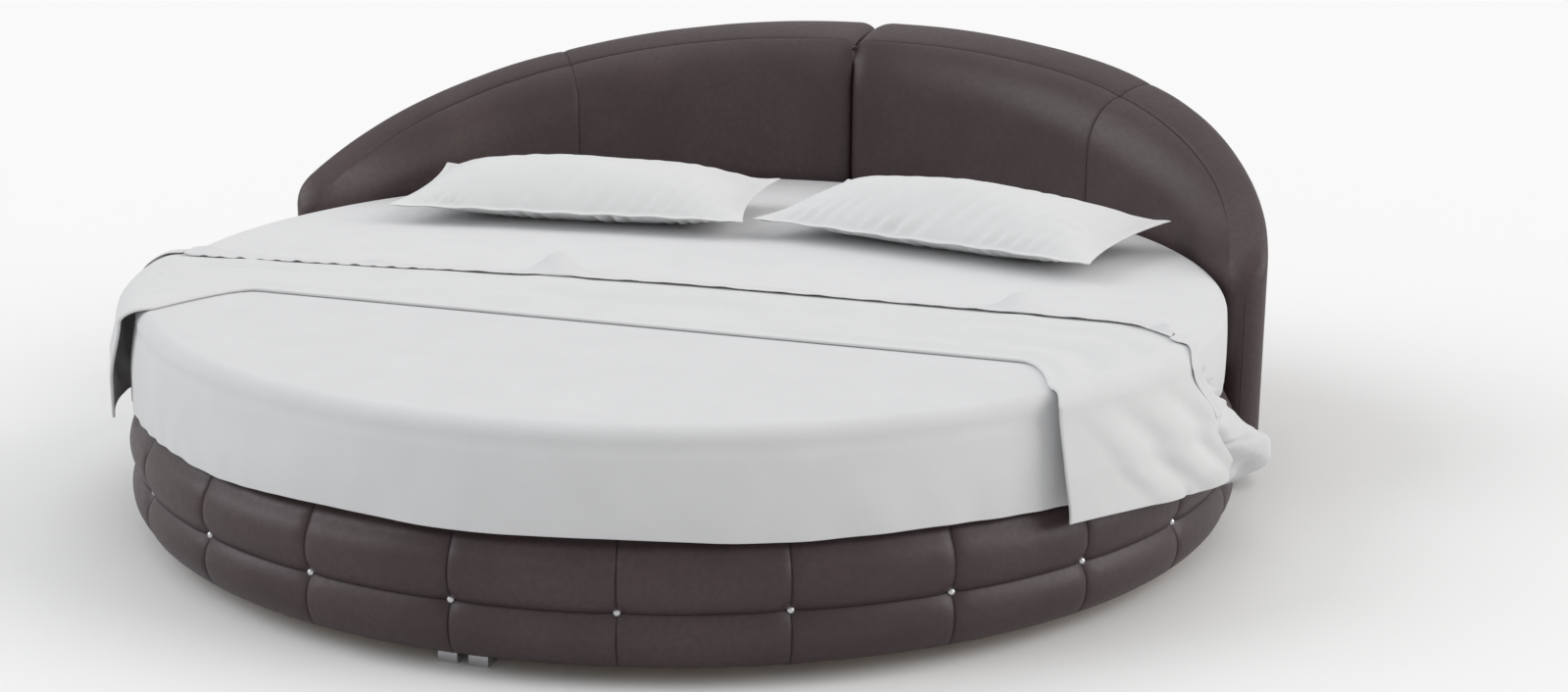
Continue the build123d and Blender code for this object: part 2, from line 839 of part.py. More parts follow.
sheet_strip = cloth_drop(
    sheet_level,
    sheet_thickness,
    strip_angles,
    strip_leans,
    strip_hem_heights,
    sheet_shoulder,
    (sheet_belly, sheet_belly_height),
    strip_hem_radius,
    strip_fold,
)

with BuildPart() as top_sheet:
    with BuildSketch(Plane.XY.offset(sheet_level)):
        with BuildLine():
            ThreePointArc(
                (-sheet_reach, -sheet_edge_side), (0, -sheet_edge_middle), (sheet_reach, -sheet_edge_side)
            )
            Polyline(
                (sheet_reach, -sheet_edge_side),
                (sheet_reach, -sheet_reach),
                (-sheet_reach, -sheet_reach),
                (-sheet_reach, -sheet_edge_side),
            )
        make_face()
        Circle(cloth_edge, mode=Mode.INTERSECT)
    extrude(amount=sheet_thickness)
    add(sheet_hang.part)
    add(sheet_strip.part)
    mirror(sheet_strip.part, about=Plane.YZ)
save(top_sheet, "top_sheet")

# Throw across the bed, over the top sheet, its ends hanging down both sides
throw_level = sheet_level + sheet_thickness + soft_gap
throw_front = 455.0
throw_front_turn = 800.0
throw_corner_x = 960.0
throw_corner_y = 600.0
throw_back_middle = 100.0
throw_back_side = 244.0
throw_angles = (59.2, 77.0)
throw_leans = (-9.0, 33.0)
throw_hem_heights = (225.0, 170.0)
throw_fold = 9.0
throw_gap = 12.0
throw_belly_reach = 18.0
throw_hem_reach = 14.0
throw_shoulder = sheet_shoulder + sheet_thickness + throw_gap
throw_belly = base_radius + throw_belly_reach
throw_belly_height = 330.0
throw_hem_radius = base_radius + throw_hem_reach

throw_drop = cloth_drop(
    throw_level,
    throw_thickness,
    throw_angles,
    throw_leans,
    throw_hem_heights,
    throw_shoulder,
    (throw_belly, throw_belly_height),
    throw_hem_radius,
    throw_fold,
)

with BuildPart() as throw:
    with BuildSketch(Plane.XY.offset(throw_level)):
        with BuildLine():
            Polyline(
                (-mattress_radius, -throw_back_side),
                (-throw_corner_x, -throw_corner_y),
                (-throw_front_turn, -throw_front),
                (throw_front_turn, -throw_front),
                (throw_corner_x, -throw_corner_y),
                (mattress_radius, -throw_back_side),
            )
            ThreePointArc(
                (mattress_radius, -throw_back_side), (0, -throw_back_middle), (-mattress_radius, -throw_back_side)
            )
        make_face()
        Circle(cloth_edge - cloth_overlap / 2, mode=Mode.INTERSECT)
    extrude(amount=throw_thickness)
    add(throw_drop.part)
    mirror(throw_drop.part, about=Plane.YZ)
save(throw, "throw")

# Pillows: a flat flange with hollow sides and pointed corners round a crowned body
flange_thickness = 4.0
flange_width = 34.0
flange_hollow = 16.0
pillow_lift = 52.0
left_pillow_place = (-434.0, 492.0)
right_pillow_place = (447.0, 494.0)
left_pillow_turn = 7.0
right_pillow_turn = -14.0
pillow_tilt = 3.3
# Layers of the body: share of its width, share of its height
crown_shares = ((1.0, 0.0), (0.93, 0.45), (0.78, 0.80), (0.45, 1.0))
belly_shares = ((1.0, 0.0), (0.93, 0.45), (0.80, 0.80), (0.60, 1.0))


def pillow_outline(width, depth, hollow):
    """Four-sided outline with pointed corners and sides that curve inwards."""
    half_width = width / 2
    half_depth = depth / 2
    ThreePointArc((-half_width, -half_depth), (0, -half_depth + hollow), (half_width, -half_depth))
    ThreePointArc((half_width, -half_depth), (half_width - hollow, 0), (half_width, half_depth))
    ThreePointArc((half_width, half_depth), (0, half_depth - hollow), (-half_width, half_depth))
    ThreePointArc((-half_width, half_depth), (-half_width + hollow, 0), (-half_width, -half_depth))


def pillow_at(spot, turn, tilt):
    """Pillow with its flange's middle here, turned about Z and tilted up at the back."""
    frame = Plane(Location(spot, (0, 0, turn)) * Location((0, 0, 0), (tilt, 0, 0)))
    body_width = pillow_width - 2 * flange_width
    body_depth = pillow_depth - 2 * flange_width
    with BuildPart() as pillow:
        with BuildSketch(frame.offset(-flange_thickness / 2)):
            with BuildLine():
                pillow_outline(pillow_width, pillow_depth, flange_hollow)
            make_face()
        extrude(amount=flange_thickness)
        for height, layers in ((pillow_crown, crown_shares), (-pillow_belly, belly_shares)):
            with BuildPart(mode=Mode.PRIVATE) as half:
                for width_share, height_share in layers:
                    inset = (1 - width_share) * body_depth
                    with BuildSketch(frame.offset(height * height_share)):
                        with BuildLine():
                            pillow_outline(body_width - inset, body_depth - inset, flange_hollow * width_share)
                        make_face()
                loft()
            add(half.part)
    return pillow


pillow_level = mattress_top + sheet_thickness + soft_gap + pillow_lift
pillow_left = pillow_at((*left_pillow_place, pillow_level), left_pillow_turn, pillow_tilt)
save(pillow_left, "pillow_left")

pillow_right = pillow_at((*right_pillow_place, pillow_level), right_pillow_turn, pillow_tilt)
save(pillow_right, "pillow_right")
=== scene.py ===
# %% [markdown]
# # Dressing a round bed
#
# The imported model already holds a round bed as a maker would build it: hoops, slats, legs, covers, a
# mattress and its sheets, each in its exact place. Its hard parts are ready and only need their finishes.
# Its soft parts are plain solids that stand in for leather, padding and cotton.
#
# This lesson makes every soft part again as a surface that is worked out from a few sizes, and it gives
# each part a finish made of shader nodes. Lengths are in metres. The foot of the bed points to -Y, the
# headboard to +Y, and angles round the bed are counted in degrees from the foot, positive to the right.

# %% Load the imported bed
import bmesh
import bpy
import json
import math
import numpy as np
from mathutils import Matrix, Vector


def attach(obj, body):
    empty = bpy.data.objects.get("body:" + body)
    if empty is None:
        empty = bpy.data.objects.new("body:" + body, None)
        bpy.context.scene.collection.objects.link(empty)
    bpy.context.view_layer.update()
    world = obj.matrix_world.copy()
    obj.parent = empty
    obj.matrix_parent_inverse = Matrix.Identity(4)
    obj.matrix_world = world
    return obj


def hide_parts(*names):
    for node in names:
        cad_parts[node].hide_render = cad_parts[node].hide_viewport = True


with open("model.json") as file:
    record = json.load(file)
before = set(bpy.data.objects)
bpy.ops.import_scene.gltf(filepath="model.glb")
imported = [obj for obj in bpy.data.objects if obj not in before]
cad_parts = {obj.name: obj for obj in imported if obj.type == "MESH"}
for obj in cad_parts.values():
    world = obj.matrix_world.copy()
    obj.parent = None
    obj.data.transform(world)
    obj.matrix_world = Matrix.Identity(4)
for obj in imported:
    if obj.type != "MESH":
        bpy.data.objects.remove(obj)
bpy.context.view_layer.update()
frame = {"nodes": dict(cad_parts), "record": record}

# %% [markdown]
# ## The camera
#
# The picture to match was taken from the foot end, a little to the right, from about head height and with
# a short telephoto lens, which keeps the round base from bulging. The camera could be aimed with a
# constraint. Here its direction is written down, because it was measured from the shape of the base's
# lower edge.

# %% Camera
camera_place = (1.784, -4.611, 1.603)
camera_direction = (-0.3121, 0.9152, -0.2549)
camera_tilt = 0.42
camera_data = bpy.data.cameras.new("camera")
camera_data.sensor_width = 36.0
camera_data.lens = 56.5
camera = bpy.data.objects.new("camera", camera_data)
looking = Vector(camera_direction).to_track_quat("-Z", "Y").to_matrix()
tilt = Matrix.Rotation(math.radians(camera_tilt), 3, "Z")
camera.matrix_world = Matrix.Translation(camera_place) @ (looking @ tilt).to_4x4()
bpy.context.scene.collection.objects.link(camera)
bpy.context.scene.camera = camera
print("camera at", list(camera.location), "lens", camera_data.lens)

# %% [markdown]
# ## Shader sums written as Python
#
# A material is a small network of nodes. Placed by hand, twenty nodes are hard to read, so one class
# wraps a socket and lets it be used in an ordinary sum: `1 - mask` adds a Math node and hands back its
# output. Every other node comes from `node`, which takes the node's type, its settings and what goes into
# its sockets.

# %% The wrapped socket
class Link:
    """A shader socket that can be added, multiplied and handed to further nodes of its tree."""

    def __init__(self, tree, socket=None):
        self.tree = tree
        self.socket = socket

    def node(self, kind, settings=None, inputs=None, output=0):
        """Adds one node. Its settings come first, then the values or links of its sockets."""
        made = self.tree.nodes.new(kind)
        for name, value in (settings or {}).items():
            setattr(made, name, value)
        for name, value in (inputs or {}).items():
            if isinstance(value, Link):
                self.tree.links.new(value.socket, made.inputs[name])
            else:
                made.inputs[name].default_value = value
        return Link(self.tree, made.outputs[output] if len(made.outputs) else None)

    def other(self, output):
        """Another output of the node that this socket belongs to."""
        return Link(self.tree, self.socket.node.outputs[output])

    def sum_of(self, operation, first, second=0.0):
        """One Math node."""
        return self.node("ShaderNodeMath", {"operation": operation}, {0: first, 1: second})

    def mix(self, factor, first, second):
        """A colour between two others."""
        inputs = {0: factor, 6: first, 7: second}
        return self.node("ShaderNodeMix", {"data_type": "RGBA"}, inputs, 2)

    def between(self, low, high):
        """This value, faded in from 0 at low to 1 at high."""
        inputs = {"Value": self, "From Min": low, "From Max": high}
        return self.node("ShaderNodeMapRange", {"interpolation_type": "SMOOTHSTEP"}, inputs)

    def __add__(self, other):
        return self.sum_of("ADD", self, other)

    def __radd__(self, other):
        return self.sum_of("ADD", other, self)

    def __sub__(self, other):
        return self.sum_of("SUBTRACT", self, other)

    def __rsub__(self, other):
        return self.sum_of("SUBTRACT", other, self)

    def __mul__(self, other):
        return self.sum_of("MULTIPLY", self, other)


# %% [markdown]
# Most finishes read the same few things: where a point is on the object, a cloudy noise and a pattern of
# cells. A few short helpers read them. Others make a relief from a height and a material from the lot.

# %% Places and patterns
def place_on(link, source="Object"):
    """Where a point is: on the object in metres, or on its cloth with source UV."""
    return link.node("ShaderNodeTexCoord", None, None, source)


def stretched(link, where, scale):
    """A place with its three directions scaled, which stretches the pattern made from it."""
    inputs = {"Vector": where, "Scale": scale}
    return link.node("ShaderNodeMapping", {"vector_type": "POINT"}, inputs)


def clouds(link, where, per_metre, detail=3.0):
    """Soft noise from 0 to 1, with so many blotches to the metre."""
    inputs = {"Vector": where, "Scale": per_metre, "Detail": detail}
    return link.node("ShaderNodeTexNoise", None, inputs, "Fac")


def cells(link, where, per_metre, output="Distance"):
    """A pattern of cells, so many to the metre: the distance inside each cell, or its own colour."""
    inputs = {"Vector": where, "Scale": per_metre}
    return link.node("ShaderNodeTexVoronoi", None, inputs, output)


# %% Reliefs, colours and materials
def relief(link, height, depth, strength, under=None):
    """A bumped normal whose highest points stand so many metres above the lowest."""
    inputs = {"Height": height, "Distance": depth, "Strength": strength}
    if under is not None:
        inputs["Normal"] = under
    return link.node("ShaderNodeBump", None, inputs, "Normal")


def rgba(colour, share=1.0):
    """An opaque colour, or a darker share of it."""
    return tuple(part * share for part in colour) + (1.0,)


def finish(name, make):
    """A material whose shader's sockets come from make(link), as a dictionary of values and links."""
    material = bpy.data.materials.new(name)
    material.use_nodes = True
    material.node_tree.nodes.clear()
    link = Link(material.node_tree)
    shader = link.node("ShaderNodeBsdfPrincipled", None, make(link), "BSDF")
    link.node("ShaderNodeOutputMaterial", None, {"Surface": shader})
    print("finish", name, "has", len(material.node_tree.nodes), "nodes")
    return material


# %% [markdown]
# ## The studio
#
# The bed stands in a white room without corners. A large pale floor catches the soft shadow. The world is
# plain white to the camera, and dimmer as a light, so that the lamps can shape the cloth without the pale
# sheets burning out. Two wide lamps shine across the bed from both sides, which leaves the foot end a
# little darker and gives the hanging cloth its roundness. A weak third one comes from above.

# %% World
def studio_world(dimmed):
    """A world that the camera sees as white, and that lights the object more dimly."""
    world = bpy.data.worlds.new("studio")
    bpy.context.scene.world = world
    world.use_nodes = True
    world.node_tree.nodes.clear()
    link = Link(world.node_tree)
    path = link.node("ShaderNodeLightPath", None, None, "Is Camera Ray")
    seen = path + path.other("Is Transmission Ray")
    strength = dimmed + seen.between(0.0, 1.0) * (1.0 - dimmed)
    back = link.node("ShaderNodeBackground", None, {"Color": rgba((1.0, 1.0, 1.0)), "Strength": strength})
    link.node("ShaderNodeOutputWorld", None, {"Surface": back})
    print("world", world.name)


studio_world(dimmed=0.50)

# %% Lamps
def wide_lamp(name, strength, spread, towards, tint=(1.0, 1.0, 1.0)):
    """A distant lamp as wide as a softbox, shining in this direction."""
    data = bpy.data.lights.new(name, "SUN")
    data.energy = strength
    data.angle = math.radians(spread)
    data.color = tint
    lamp = bpy.data.objects.new(name, data)
    lamp.rotation_euler = Vector(towards).to_track_quat("-Z", "Y").to_euler()
    bpy.context.scene.collection.objects.link(lamp)


wide_lamp("left", strength=1.15, spread=50.0, towards=(0.80, 0.20, -0.57), tint=(0.96, 0.98, 1.0))
wide_lamp("right", strength=1.35, spread=50.0, towards=(-0.85, -0.25, -0.48), tint=(1.0, 0.975, 0.95))
wide_lamp("above", strength=0.25, spread=60.0, towards=(0.0, -0.35, -1.0))
print("lamps", [item.name for item in bpy.data.lights])

# %% [markdown]
# The floor is one large plane.
#
# A white floor would throw much light up at the base's dark leather. So the floor is paler to the camera
# than it is as a reflector of light.

# %% Floor
floor_reach = 60.0
corners = [(x * floor_reach, y * floor_reach, 0.0) for x, y in ((-1, -1), (1, -1), (1, 1), (-1, 1))]
floor_mesh = bpy.data.meshes.new("floor")
floor_mesh.from_pydata(corners, [], [(0, 1, 2, 3)])
floor = bpy.data.objects.new("floor", floor_mesh)
bpy.context.scene.collection.objects.link(floor)


def floor_paint(link):
    """Studio paint, almost even, with a paler look for the camera."""
    patches = clouds(link, place_on(link), per_metre=0.6)
    paint = link.mix(patches, rgba((0.73, 0.73, 0.73)), rgba((0.75, 0.75, 0.745)))
    seen = link.node("ShaderNodeLightPath", None, None, "Is Camera Ray")
    colour = link.mix(seen, paint, rgba((0.97, 0.97, 0.97)))
    return {"Base Color": colour, "Roughness": 0.9, "Specular IOR Level": 0.0}


floor_mesh.materials.append(finish("floor_paint", floor_paint))

# %% [markdown]
# ## Tools for surfaces
#
# A padded cover is easiest to describe by its cross-section: how far out and how high each point of the
# leather is, at one angle round the bed. A section is held as complex numbers here, with the distance
# from the bed's axis as the real part and the height as the imaginary part, so an arc is one
# multiplication. Many sections side by side make a grid of points, and a grid is quickly turned into a
# mesh.

# %% Spacing
MM = 0.001
SIDES = ((1, "right"), (-1, "left"))


def even(count):
    """Numbers from 0 to 1 in equal steps."""
    return np.linspace(0.0, 1.0, count)


def crowded(count, power=2.0):
    """Numbers from 0 to 1 that crowd together near 0."""
    return even(count) ** power


def both_ways(count, power):
    """Numbers from 0 to 1 that crowd together at both ends."""
    half = crowded(count, power) / 2
    return np.concatenate([half, 1 - half[-2::-1]])


def fade(value, low, high):
    """0 below low, 1 above high, and a smooth step between them."""
    share = np.clip((value - low) / (high - low), 0.0, 1.0)
    return share * share * (3 - 2 * share)


def bump(value, where, width):
    """1 at one place, falling smoothly to 0 within about twice this width on both sides."""
    return np.exp(-(((value - where) / width) ** 2))


# %% Lines and arcs of a section
def straight(start, end, shares):
    """Points on the line between two points, one row for each section."""
    start, end = np.atleast_1d(start), np.atleast_1d(end)
    return start[:, None] + (end - start)[:, None] * shares[None, :]


def arc_through(start, middle, end, shares):
    """Points on the arc through three points, one row for each section."""
    start, middle, end = np.atleast_1d(start), np.atleast_1d(middle), np.atleast_1d(end)
    ratio = (end - start) / (middle - start)
    centre = (middle - start) * (ratio - abs(ratio) ** 2) / (2j * ratio.imag) + start
    sweep = np.angle((middle - centre) / (start - centre)) + np.angle((end - centre) / (middle - centre))
    turned = np.exp(1j * sweep[:, None] * shares[None, :])
    return centre[:, None] + (start - centre)[:, None] * turned


def joined(parts):
    """Whole sections from parts that each begin where the last one ended."""
    return np.concatenate([part[:, :-1] for part in parts[:-1]] + [parts[-1]], axis=1)


# %% From a section to a grid of points
def around(angles, section):
    """Turns sections into points in space, each section at its angle round the bed."""
    turn = np.radians(np.asarray(angles, float))
    turn = turn[:, None] if turn.ndim == 1 else turn
    out, up = section.real, section.imag
    return np.stack([out * np.sin(turn), -out * np.cos(turn), up], axis=-1)


def lengths_along(points, axis):
    """Length walked from the first point to each one, along one direction of a section or a grid."""
    steps = np.diff(points, axis=axis)
    steps = abs(steps) if np.iscomplexobj(points) else np.linalg.norm(steps, axis=-1)
    return np.cumsum(np.insert(steps, 0, 0.0, axis=axis), axis=axis)


def facing(grid):
    """Direction that each point of a grid faces."""
    across = np.gradient(grid, axis=0)
    along = np.gradient(grid, axis=1)
    normal = np.cross(across, along)
    return normal / np.maximum(np.linalg.norm(normal, axis=-1, keepdims=True), 1e-12)


def ripples(first, second, length, seed, waves=9):
    """Gentle waves of about this length in all directions, between about -1 and 1."""
    dice = np.random.default_rng(seed)
    total = np.zeros(np.broadcast(first, second).shape)
    for _ in range(waves):
        direction, phase = dice.uniform(0, 2 * math.pi, 2)
        pitch = 2 * math.pi / (length * dice.uniform(0.7, 1.5))
        total = total + np.sin((first * math.cos(direction) + second * math.sin(direction)) * pitch + phase)
    return total / math.sqrt(2 * waves)


# %% From a grid to a mesh
def quads(index):
    """Corner lists of the faces between the points of a grid, from the numbers of its points."""
    corners = [index[:-1, :-1], index[1:, :-1], index[1:, 1:], index[:-1, 1:]]
    return np.stack(corners, axis=-1).reshape(-1, 4).tolist()


def make_piece(name, grids, maps=None, marks=None, extra=()):
    """One smooth mesh object from grids of points, with cloth places in metres and a mark for seams."""
    faces, start = [], 0
    for grid in grids:
        count = grid.shape[0] * grid.shape[1]
        faces += quads(np.arange(count).reshape(grid.shape[:2]) + start)
        start += count
    faces += [list(face) for face in extra]
    mesh = bpy.data.meshes.new(name)
    points = np.concatenate([grid.reshape(-1, 3) for grid in grids])
    mesh.from_pydata(points.tolist(), [], faces)
    if marks is not None:
        values = np.concatenate([mark.reshape(-1) for mark in marks]).astype(np.float32)
        mesh.attributes.new("seam", "FLOAT", "POINT").data.foreach_set("value", values)
    if maps is not None:
        flat = np.concatenate([cloth.reshape(-1, 2) for cloth in maps])
        corner = np.zeros(len(mesh.loops), np.int32)
        mesh.loops.foreach_get("vertex_index", corner)
        layer = mesh.uv_layers.new(name="cloth")
        layer.data.foreach_set("uv", flat[corner].astype(np.float32).reshape(-1))
    mesh.validate()
    piece = bpy.data.objects.new(name, mesh)
    bpy.context.scene.collection.objects.link(piece)
    mesh.polygons.foreach_set("use_smooth", [True] * len(mesh.polygons))
    print(name, len(points), "points")
    return piece


def join_close(piece, distance=0.00002):
    """Joins points of a mesh that lie in the same place."""
    work = bmesh.new()
    work.from_mesh(piece.data)
    bmesh.ops.remove_doubles(work, verts=work.verts, dist=distance)
    work.to_mesh(piece.data)
    work.free()


# %% [markdown]
# ## The tufted base
#
# The base's leather is sewn from two rows of panels over foam. At every upright seam, and at the long
# crease between the rows, the leather is drawn in, and a small button holds each crossing. The foam
# pushes each panel out between these lines, so a panel is fullest in its middle and rolls in steeply just
# before a seam.
#
# This could be made with a quilted bump map, but the crease is deep enough to change the outline of the
# base. So the section is drawn as three arcs, and the seams draw the whole section in by an amount that
# falls off quickly beside the seam and slowly further away. Points crowd at the seams, where the leather
# bends most.

# %% Sizes of the base
base_radius = 1128 * MM
lip_radius = 1030 * MM
underside = 34 * MM
crease_height = 132 * MM
lower_bulge = 88 * MM
upper_bulge = 176 * MM
shoulder_height = 226 * MM
tuck_height = 242 * MM
cover_top = 264 * MM
dimple_depth = 6.5 * MM
column = 15.0
columns_a_side = 7
buttons_end = columns_a_side * column - column / 2


def drawn_in(distance, wide, narrow):
    """How far a seam pulls the leather in: a broad slope and a tight roll."""
    return wide * np.exp(-distance / (52 * MM)) + narrow * np.exp(-distance / (5.5 * MM))


print("tufted columns on each side:", columns_a_side)

# %% Section of the base
def base_section(draw, rows):
    """Sections of the tufted cover, each drawn in this far, from the hem over both rows to the lip."""
    still = 0 * draw
    hem = base_radius - 52 * MM + 40j * MM + still
    low = base_radius - 26 * MM + 1j * underside + still
    crease = base_radius - 15 * MM - draw * 0.5 + 1j * crease_height
    shoulder = base_radius - 16 * MM - draw + 1j * shoulder_height
    lip = base_radius - 62 * MM + 1j * cover_top + still
    tuck = lip_radius + 1j * cover_top + still
    edge = lip_radius + 1j * tuck_height + still
    return joined([
        straight(hem, low, even(4)),
        arc_through(low, base_radius - draw + 1j * lower_bulge, crease, 1 - crowded(rows, 1.7)[::-1]),
        arc_through(crease, base_radius - draw + 1j * upper_bulge, shoulder, crowded(rows, 1.7)),
        arc_through(shoulder, base_radius - 34 * MM - draw + 252j * MM, lip, even(9)),
        straight(lip, tuck, even(4)),
        straight(tuck, edge, even(3)),
    ])


# %% Angles along the base
def base_angles():
    """Angles from the foot to the back cover, crowded at the seams, and the way from each to its seam."""
    half = crowded(14, 2.1) * column / 2
    panel = np.concatenate([half, column - half[-2:0:-1]])
    angles = np.concatenate([panel + number * column for number in range(columns_a_side)])
    angles = np.append(angles, columns_a_side * column)
    seam_gap = np.radians(np.minimum(angles % column, column - angles % column)) * base_radius
    return angles, seam_gap


print("sections in each half of the base:", len(base_angles()[0]))

# %% Dimples, puckers and uneven foam
def base_relief(spot, height, seam_gap, buttoned):
    """How far each point of the leather stands out from the plain section, or in from it."""
    rise = height - crease_height
    near_button = np.hypot(seam_gap, rise)
    dimple = dimple_depth * np.exp(-((near_button / (17 * MM)) ** 1.5)) * buttoned
    uneven = ripples(spot, height, length=0.16, seed=11) * 0.9 * MM
    uneven = uneven + ripples(spot * 1.4, height, length=0.05, seed=12) * 0.25 * MM
    round_button = np.sin(np.arctan2(rise, seam_gap + 1e-6) * 7)
    puckering = round_button * bump(near_button, 26 * MM, 14 * MM) * 0.7 * MM * buttoned
    calm = 1 - np.exp(-np.minimum(seam_gap, abs(rise)) / (12 * MM))
    return (uneven + puckering) * calm - dimple


# %% The tufted cover
def tufted_half(side):
    """The cover from the middle of the foot end round to the back cover, on one side, and its seam mark."""
    angles, seam_gap = base_angles()
    section = base_section(drawn_in(seam_gap, wide=3.2 * MM, narrow=4.6 * MM), rows=24)
    height, seam_gap = section.imag, seam_gap[:, None]
    outer = fade(height, 30 * MM, 42 * MM) * (section.real > base_radius - 60 * MM)
    spot = np.radians(angles)[:, None] * side * base_radius
    buttoned = 1.0 * (angles[:, None] < buttons_end)
    section = section + base_relief(spot, height, seam_gap, buttoned) * outer
    end = np.minimum(section[-1:].real, base_radius - 50 * MM) + 1j * section[-1:].imag
    grid = np.concatenate([around(angles * side, section), around(angles[-1:] * side, end)])
    mark = np.maximum(bump(seam_gap, 0, 1.5 * MM), bump(height, crease_height, 1.8 * MM)) * outer
    mark = np.concatenate([mark, mark[-1:] * 0])
    if side < 0:
        grid, mark = grid[::-1], mark[::-1]
    return grid, mark


base_covers = {}
for side, name in SIDES:
    grid, mark = tufted_half(side)
    cover = make_piece(f"tufted_cover_{name}", [grid], marks=[mark])
    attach(cover, "bed")
    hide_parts(f"base_cover_{name}")
    base_covers[name] = cover

# %% [markdown]
# Behind the headboard's wings nobody sees the base, so a maker covers it plainly: one smooth strip of
# leather over a thin pad, turned over the top edge and under the bottom edge.

# %% The plain cover round the back
def plain_back(side):
    """Plain strip between the wings, rounded at its top and bottom edges."""
    angles = np.linspace(columns_a_side * column, 180.0, 60)
    out, soft, top = 1105.4 * MM, 9 * MM, 263.7 * MM
    under = [out - soft + 42.5j * MM, out - 2.6 * MM + 45j * MM, out + 51j * MM]
    over = [out + 255j * MM, out - 2.6 * MM + 261j * MM, out - soft + 1j * top]
    section = joined([
        straight(1081 * MM + 44j * MM, under[0], even(4)),
        arc_through(*under, even(6)),
        straight(under[-1], over[0], even(12)),
        arc_through(*over, even(6)),
        straight(over[-1], lip_radius + 1j * top, even(8)),
        straight(lip_radius + 1j * top, lip_radius + 1j * tuck_height, even(3)),
    ])
    section = np.repeat(section, len(angles), axis=0)
    grid = around(angles * side, section)
    spot = np.radians(angles)[:, None] * side * out
    dents = ripples(spot, section.imag, length=0.12, seed=21) * 0.5 * MM
    grid = grid - facing(grid) * abs(dents)[..., None] * 0.5 * side
    return grid if side > 0 else grid[::-1]


for side, name in SIDES:
    back = make_piece(f"plain_cover_{name}", [plain_back(side)])
    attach(back, "bed")
    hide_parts(f"back_cover_{name}")
    base_covers[f"back_{name}"] = back

# %% [markdown]
# ## The headboard
#
# The headboard is a crescent in two halves. It is thin and low at the wings and deep and tall at the
# back. Each half has an inner face of two leather panels, joined by one upright seam, and a broad border
# over the top. Near the wing's end the border's seam turns down and the border closes the wing as a
# rounded nose.
#
# Sculpting such a crescent would take long and never be quite even. Worked out from its section it is
# exact: the section grows along the crescent, shrinks to nothing at the nose, and rolls in at the middle,
# where the halves meet.

# %% How the crescent grows
wing_angle = 107.6
nose_span = 2.2
turn_angle = 110.6
face_seam_angle = 145.0
crown_height = 813 * MM
wing_height = 480 * MM
inner_radius = 1106 * MM
rear_arc = 1140 * MM
set_back = 240 * MM
middle_angle = 180 - math.degrees(1.5 * MM / rear_arc)


def rear_radius(angle):
    """Distance from the bed's axis to the rear face, an arc set back from the bed's."""
    across = set_back * np.sin(np.radians(angle))
    return -set_back * np.cos(np.radians(angle)) + np.sqrt(rear_arc**2 - across**2)


def grown(angle):
    """Share of the way from the wing's end to the middle of the back."""
    return np.clip((angle - wing_angle) / (180 - wing_angle), 0, 1)


def board_top(angle):
    """Height of the top edge."""
    return crown_height - (crown_height - wing_height) * (1 - grown(angle)) ** 2.1


print("headboard's depth at the middle:", round(float(rear_radius(180.0)) - inner_radius, 4))

# %% Stations along the crescent
def headboard_angles():
    """Angles of the sections, crowded at the nose, at the upright seams and at the middle."""
    least_step = 0.012
    seam = crowded(12, 2.2) * 3.0
    stations = np.concatenate([
        wing_angle + nose_span * (1 - np.cos(np.linspace(0, math.pi / 2, 16))),
        turn_angle - crowded(12) * 0.8,
        turn_angle + crowded(14) * 3.0,
        face_seam_angle - seam,
        face_seam_angle + seam,
        middle_angle - crowded(16, 1.8) * 3.4,
        np.linspace(113.6, 176.5, 50),
    ])
    angles = np.unique(np.round(stations, 4))
    kept = [angles[0]]
    for angle in angles[1:]:
        if angle - kept[-1] > least_step or angle == angles[-1]:
            kept.append(angle)
    return np.array(kept)


print("sections in each half of the headboard:", len(headboard_angles()))

# %% Depth and height of each section
nose_drop = 50 * MM
middle_roll = 22 * MM
middle_reach = 38 * MM


def nose_share(angles):
    """Share of the full depth, which grows in a quarter circle from the wing's end."""
    to_full = ((wing_angle + nose_span - angles) / nose_span).clip(0, 1)
    return np.sqrt(np.clip(1 - to_full**2, 1e-4, 1))


def border_width(angles):
    """Width of the border over the top, which grows from the wing to the middle of the back."""
    return (80 + 142 * grown(angles) ** 1.8) * MM


def rear_rounding(angles):
    """Radius of the border's roll over the rear edge."""
    return (20 + 38 * grown(angles)) * MM


def headboard_edges(angles):
    """Inner face, rear face and top, rolled in at the middle of the back and rounded off at the wing."""
    to_middle = np.radians(middle_angle - angles) * rear_arc
    roll_in = middle_roll * (1 - np.sqrt(1 - (1 - np.clip(to_middle / middle_reach, 0, 1)) ** 2))
    back, front = rear_radius(angles) - roll_in, inner_radius + roll_in
    heart, half = (back + front) / 2, (back - front) / 2 * nose_share(angles)
    rounding_off = ((111.1 - angles) / 3.5).clip(0, 1)
    top = board_top(angles) - roll_in - nose_drop * (1 - np.sqrt(1 - rounding_off**2))
    return heart - half, heart + half, top


# %% Parts of the headboard's section
seam_drop = 20 * MM
face_roll = 126 * MM
hem_height = 43 * MM
corner_share = 0.293


def leaning_arc(start, end, shares):
    """Arc that leaves its start straight upwards and leans back to its end."""
    lean = np.arctan2((end - start).real, (end - start).imag)
    bend = abs(end - start) / (2 * np.sin(np.maximum(lean, 1e-4)))
    swing = 2 * lean[:, None] * shares[None, :]
    return start[:, None] + bend[:, None] * ((1 - np.cos(swing)) + 1j * np.sin(swing))


def rear_points(angles, back, top):
    """Where the cover stops showing at the rear, where it tucks in at the back panel, and its lower end."""
    panelled = fade(angles, 113.9, 114.1) * (1 - fade(angles, 177.45, 177.6))
    behind = back - 14 * MM * panelled
    lower_end = hem_height + 19 * MM * (behind < back - 10 * MM)
    return back + 1j * (top - 66 * MM), behind + 1j * (top - 70 * MM), behind + 1j * lower_end


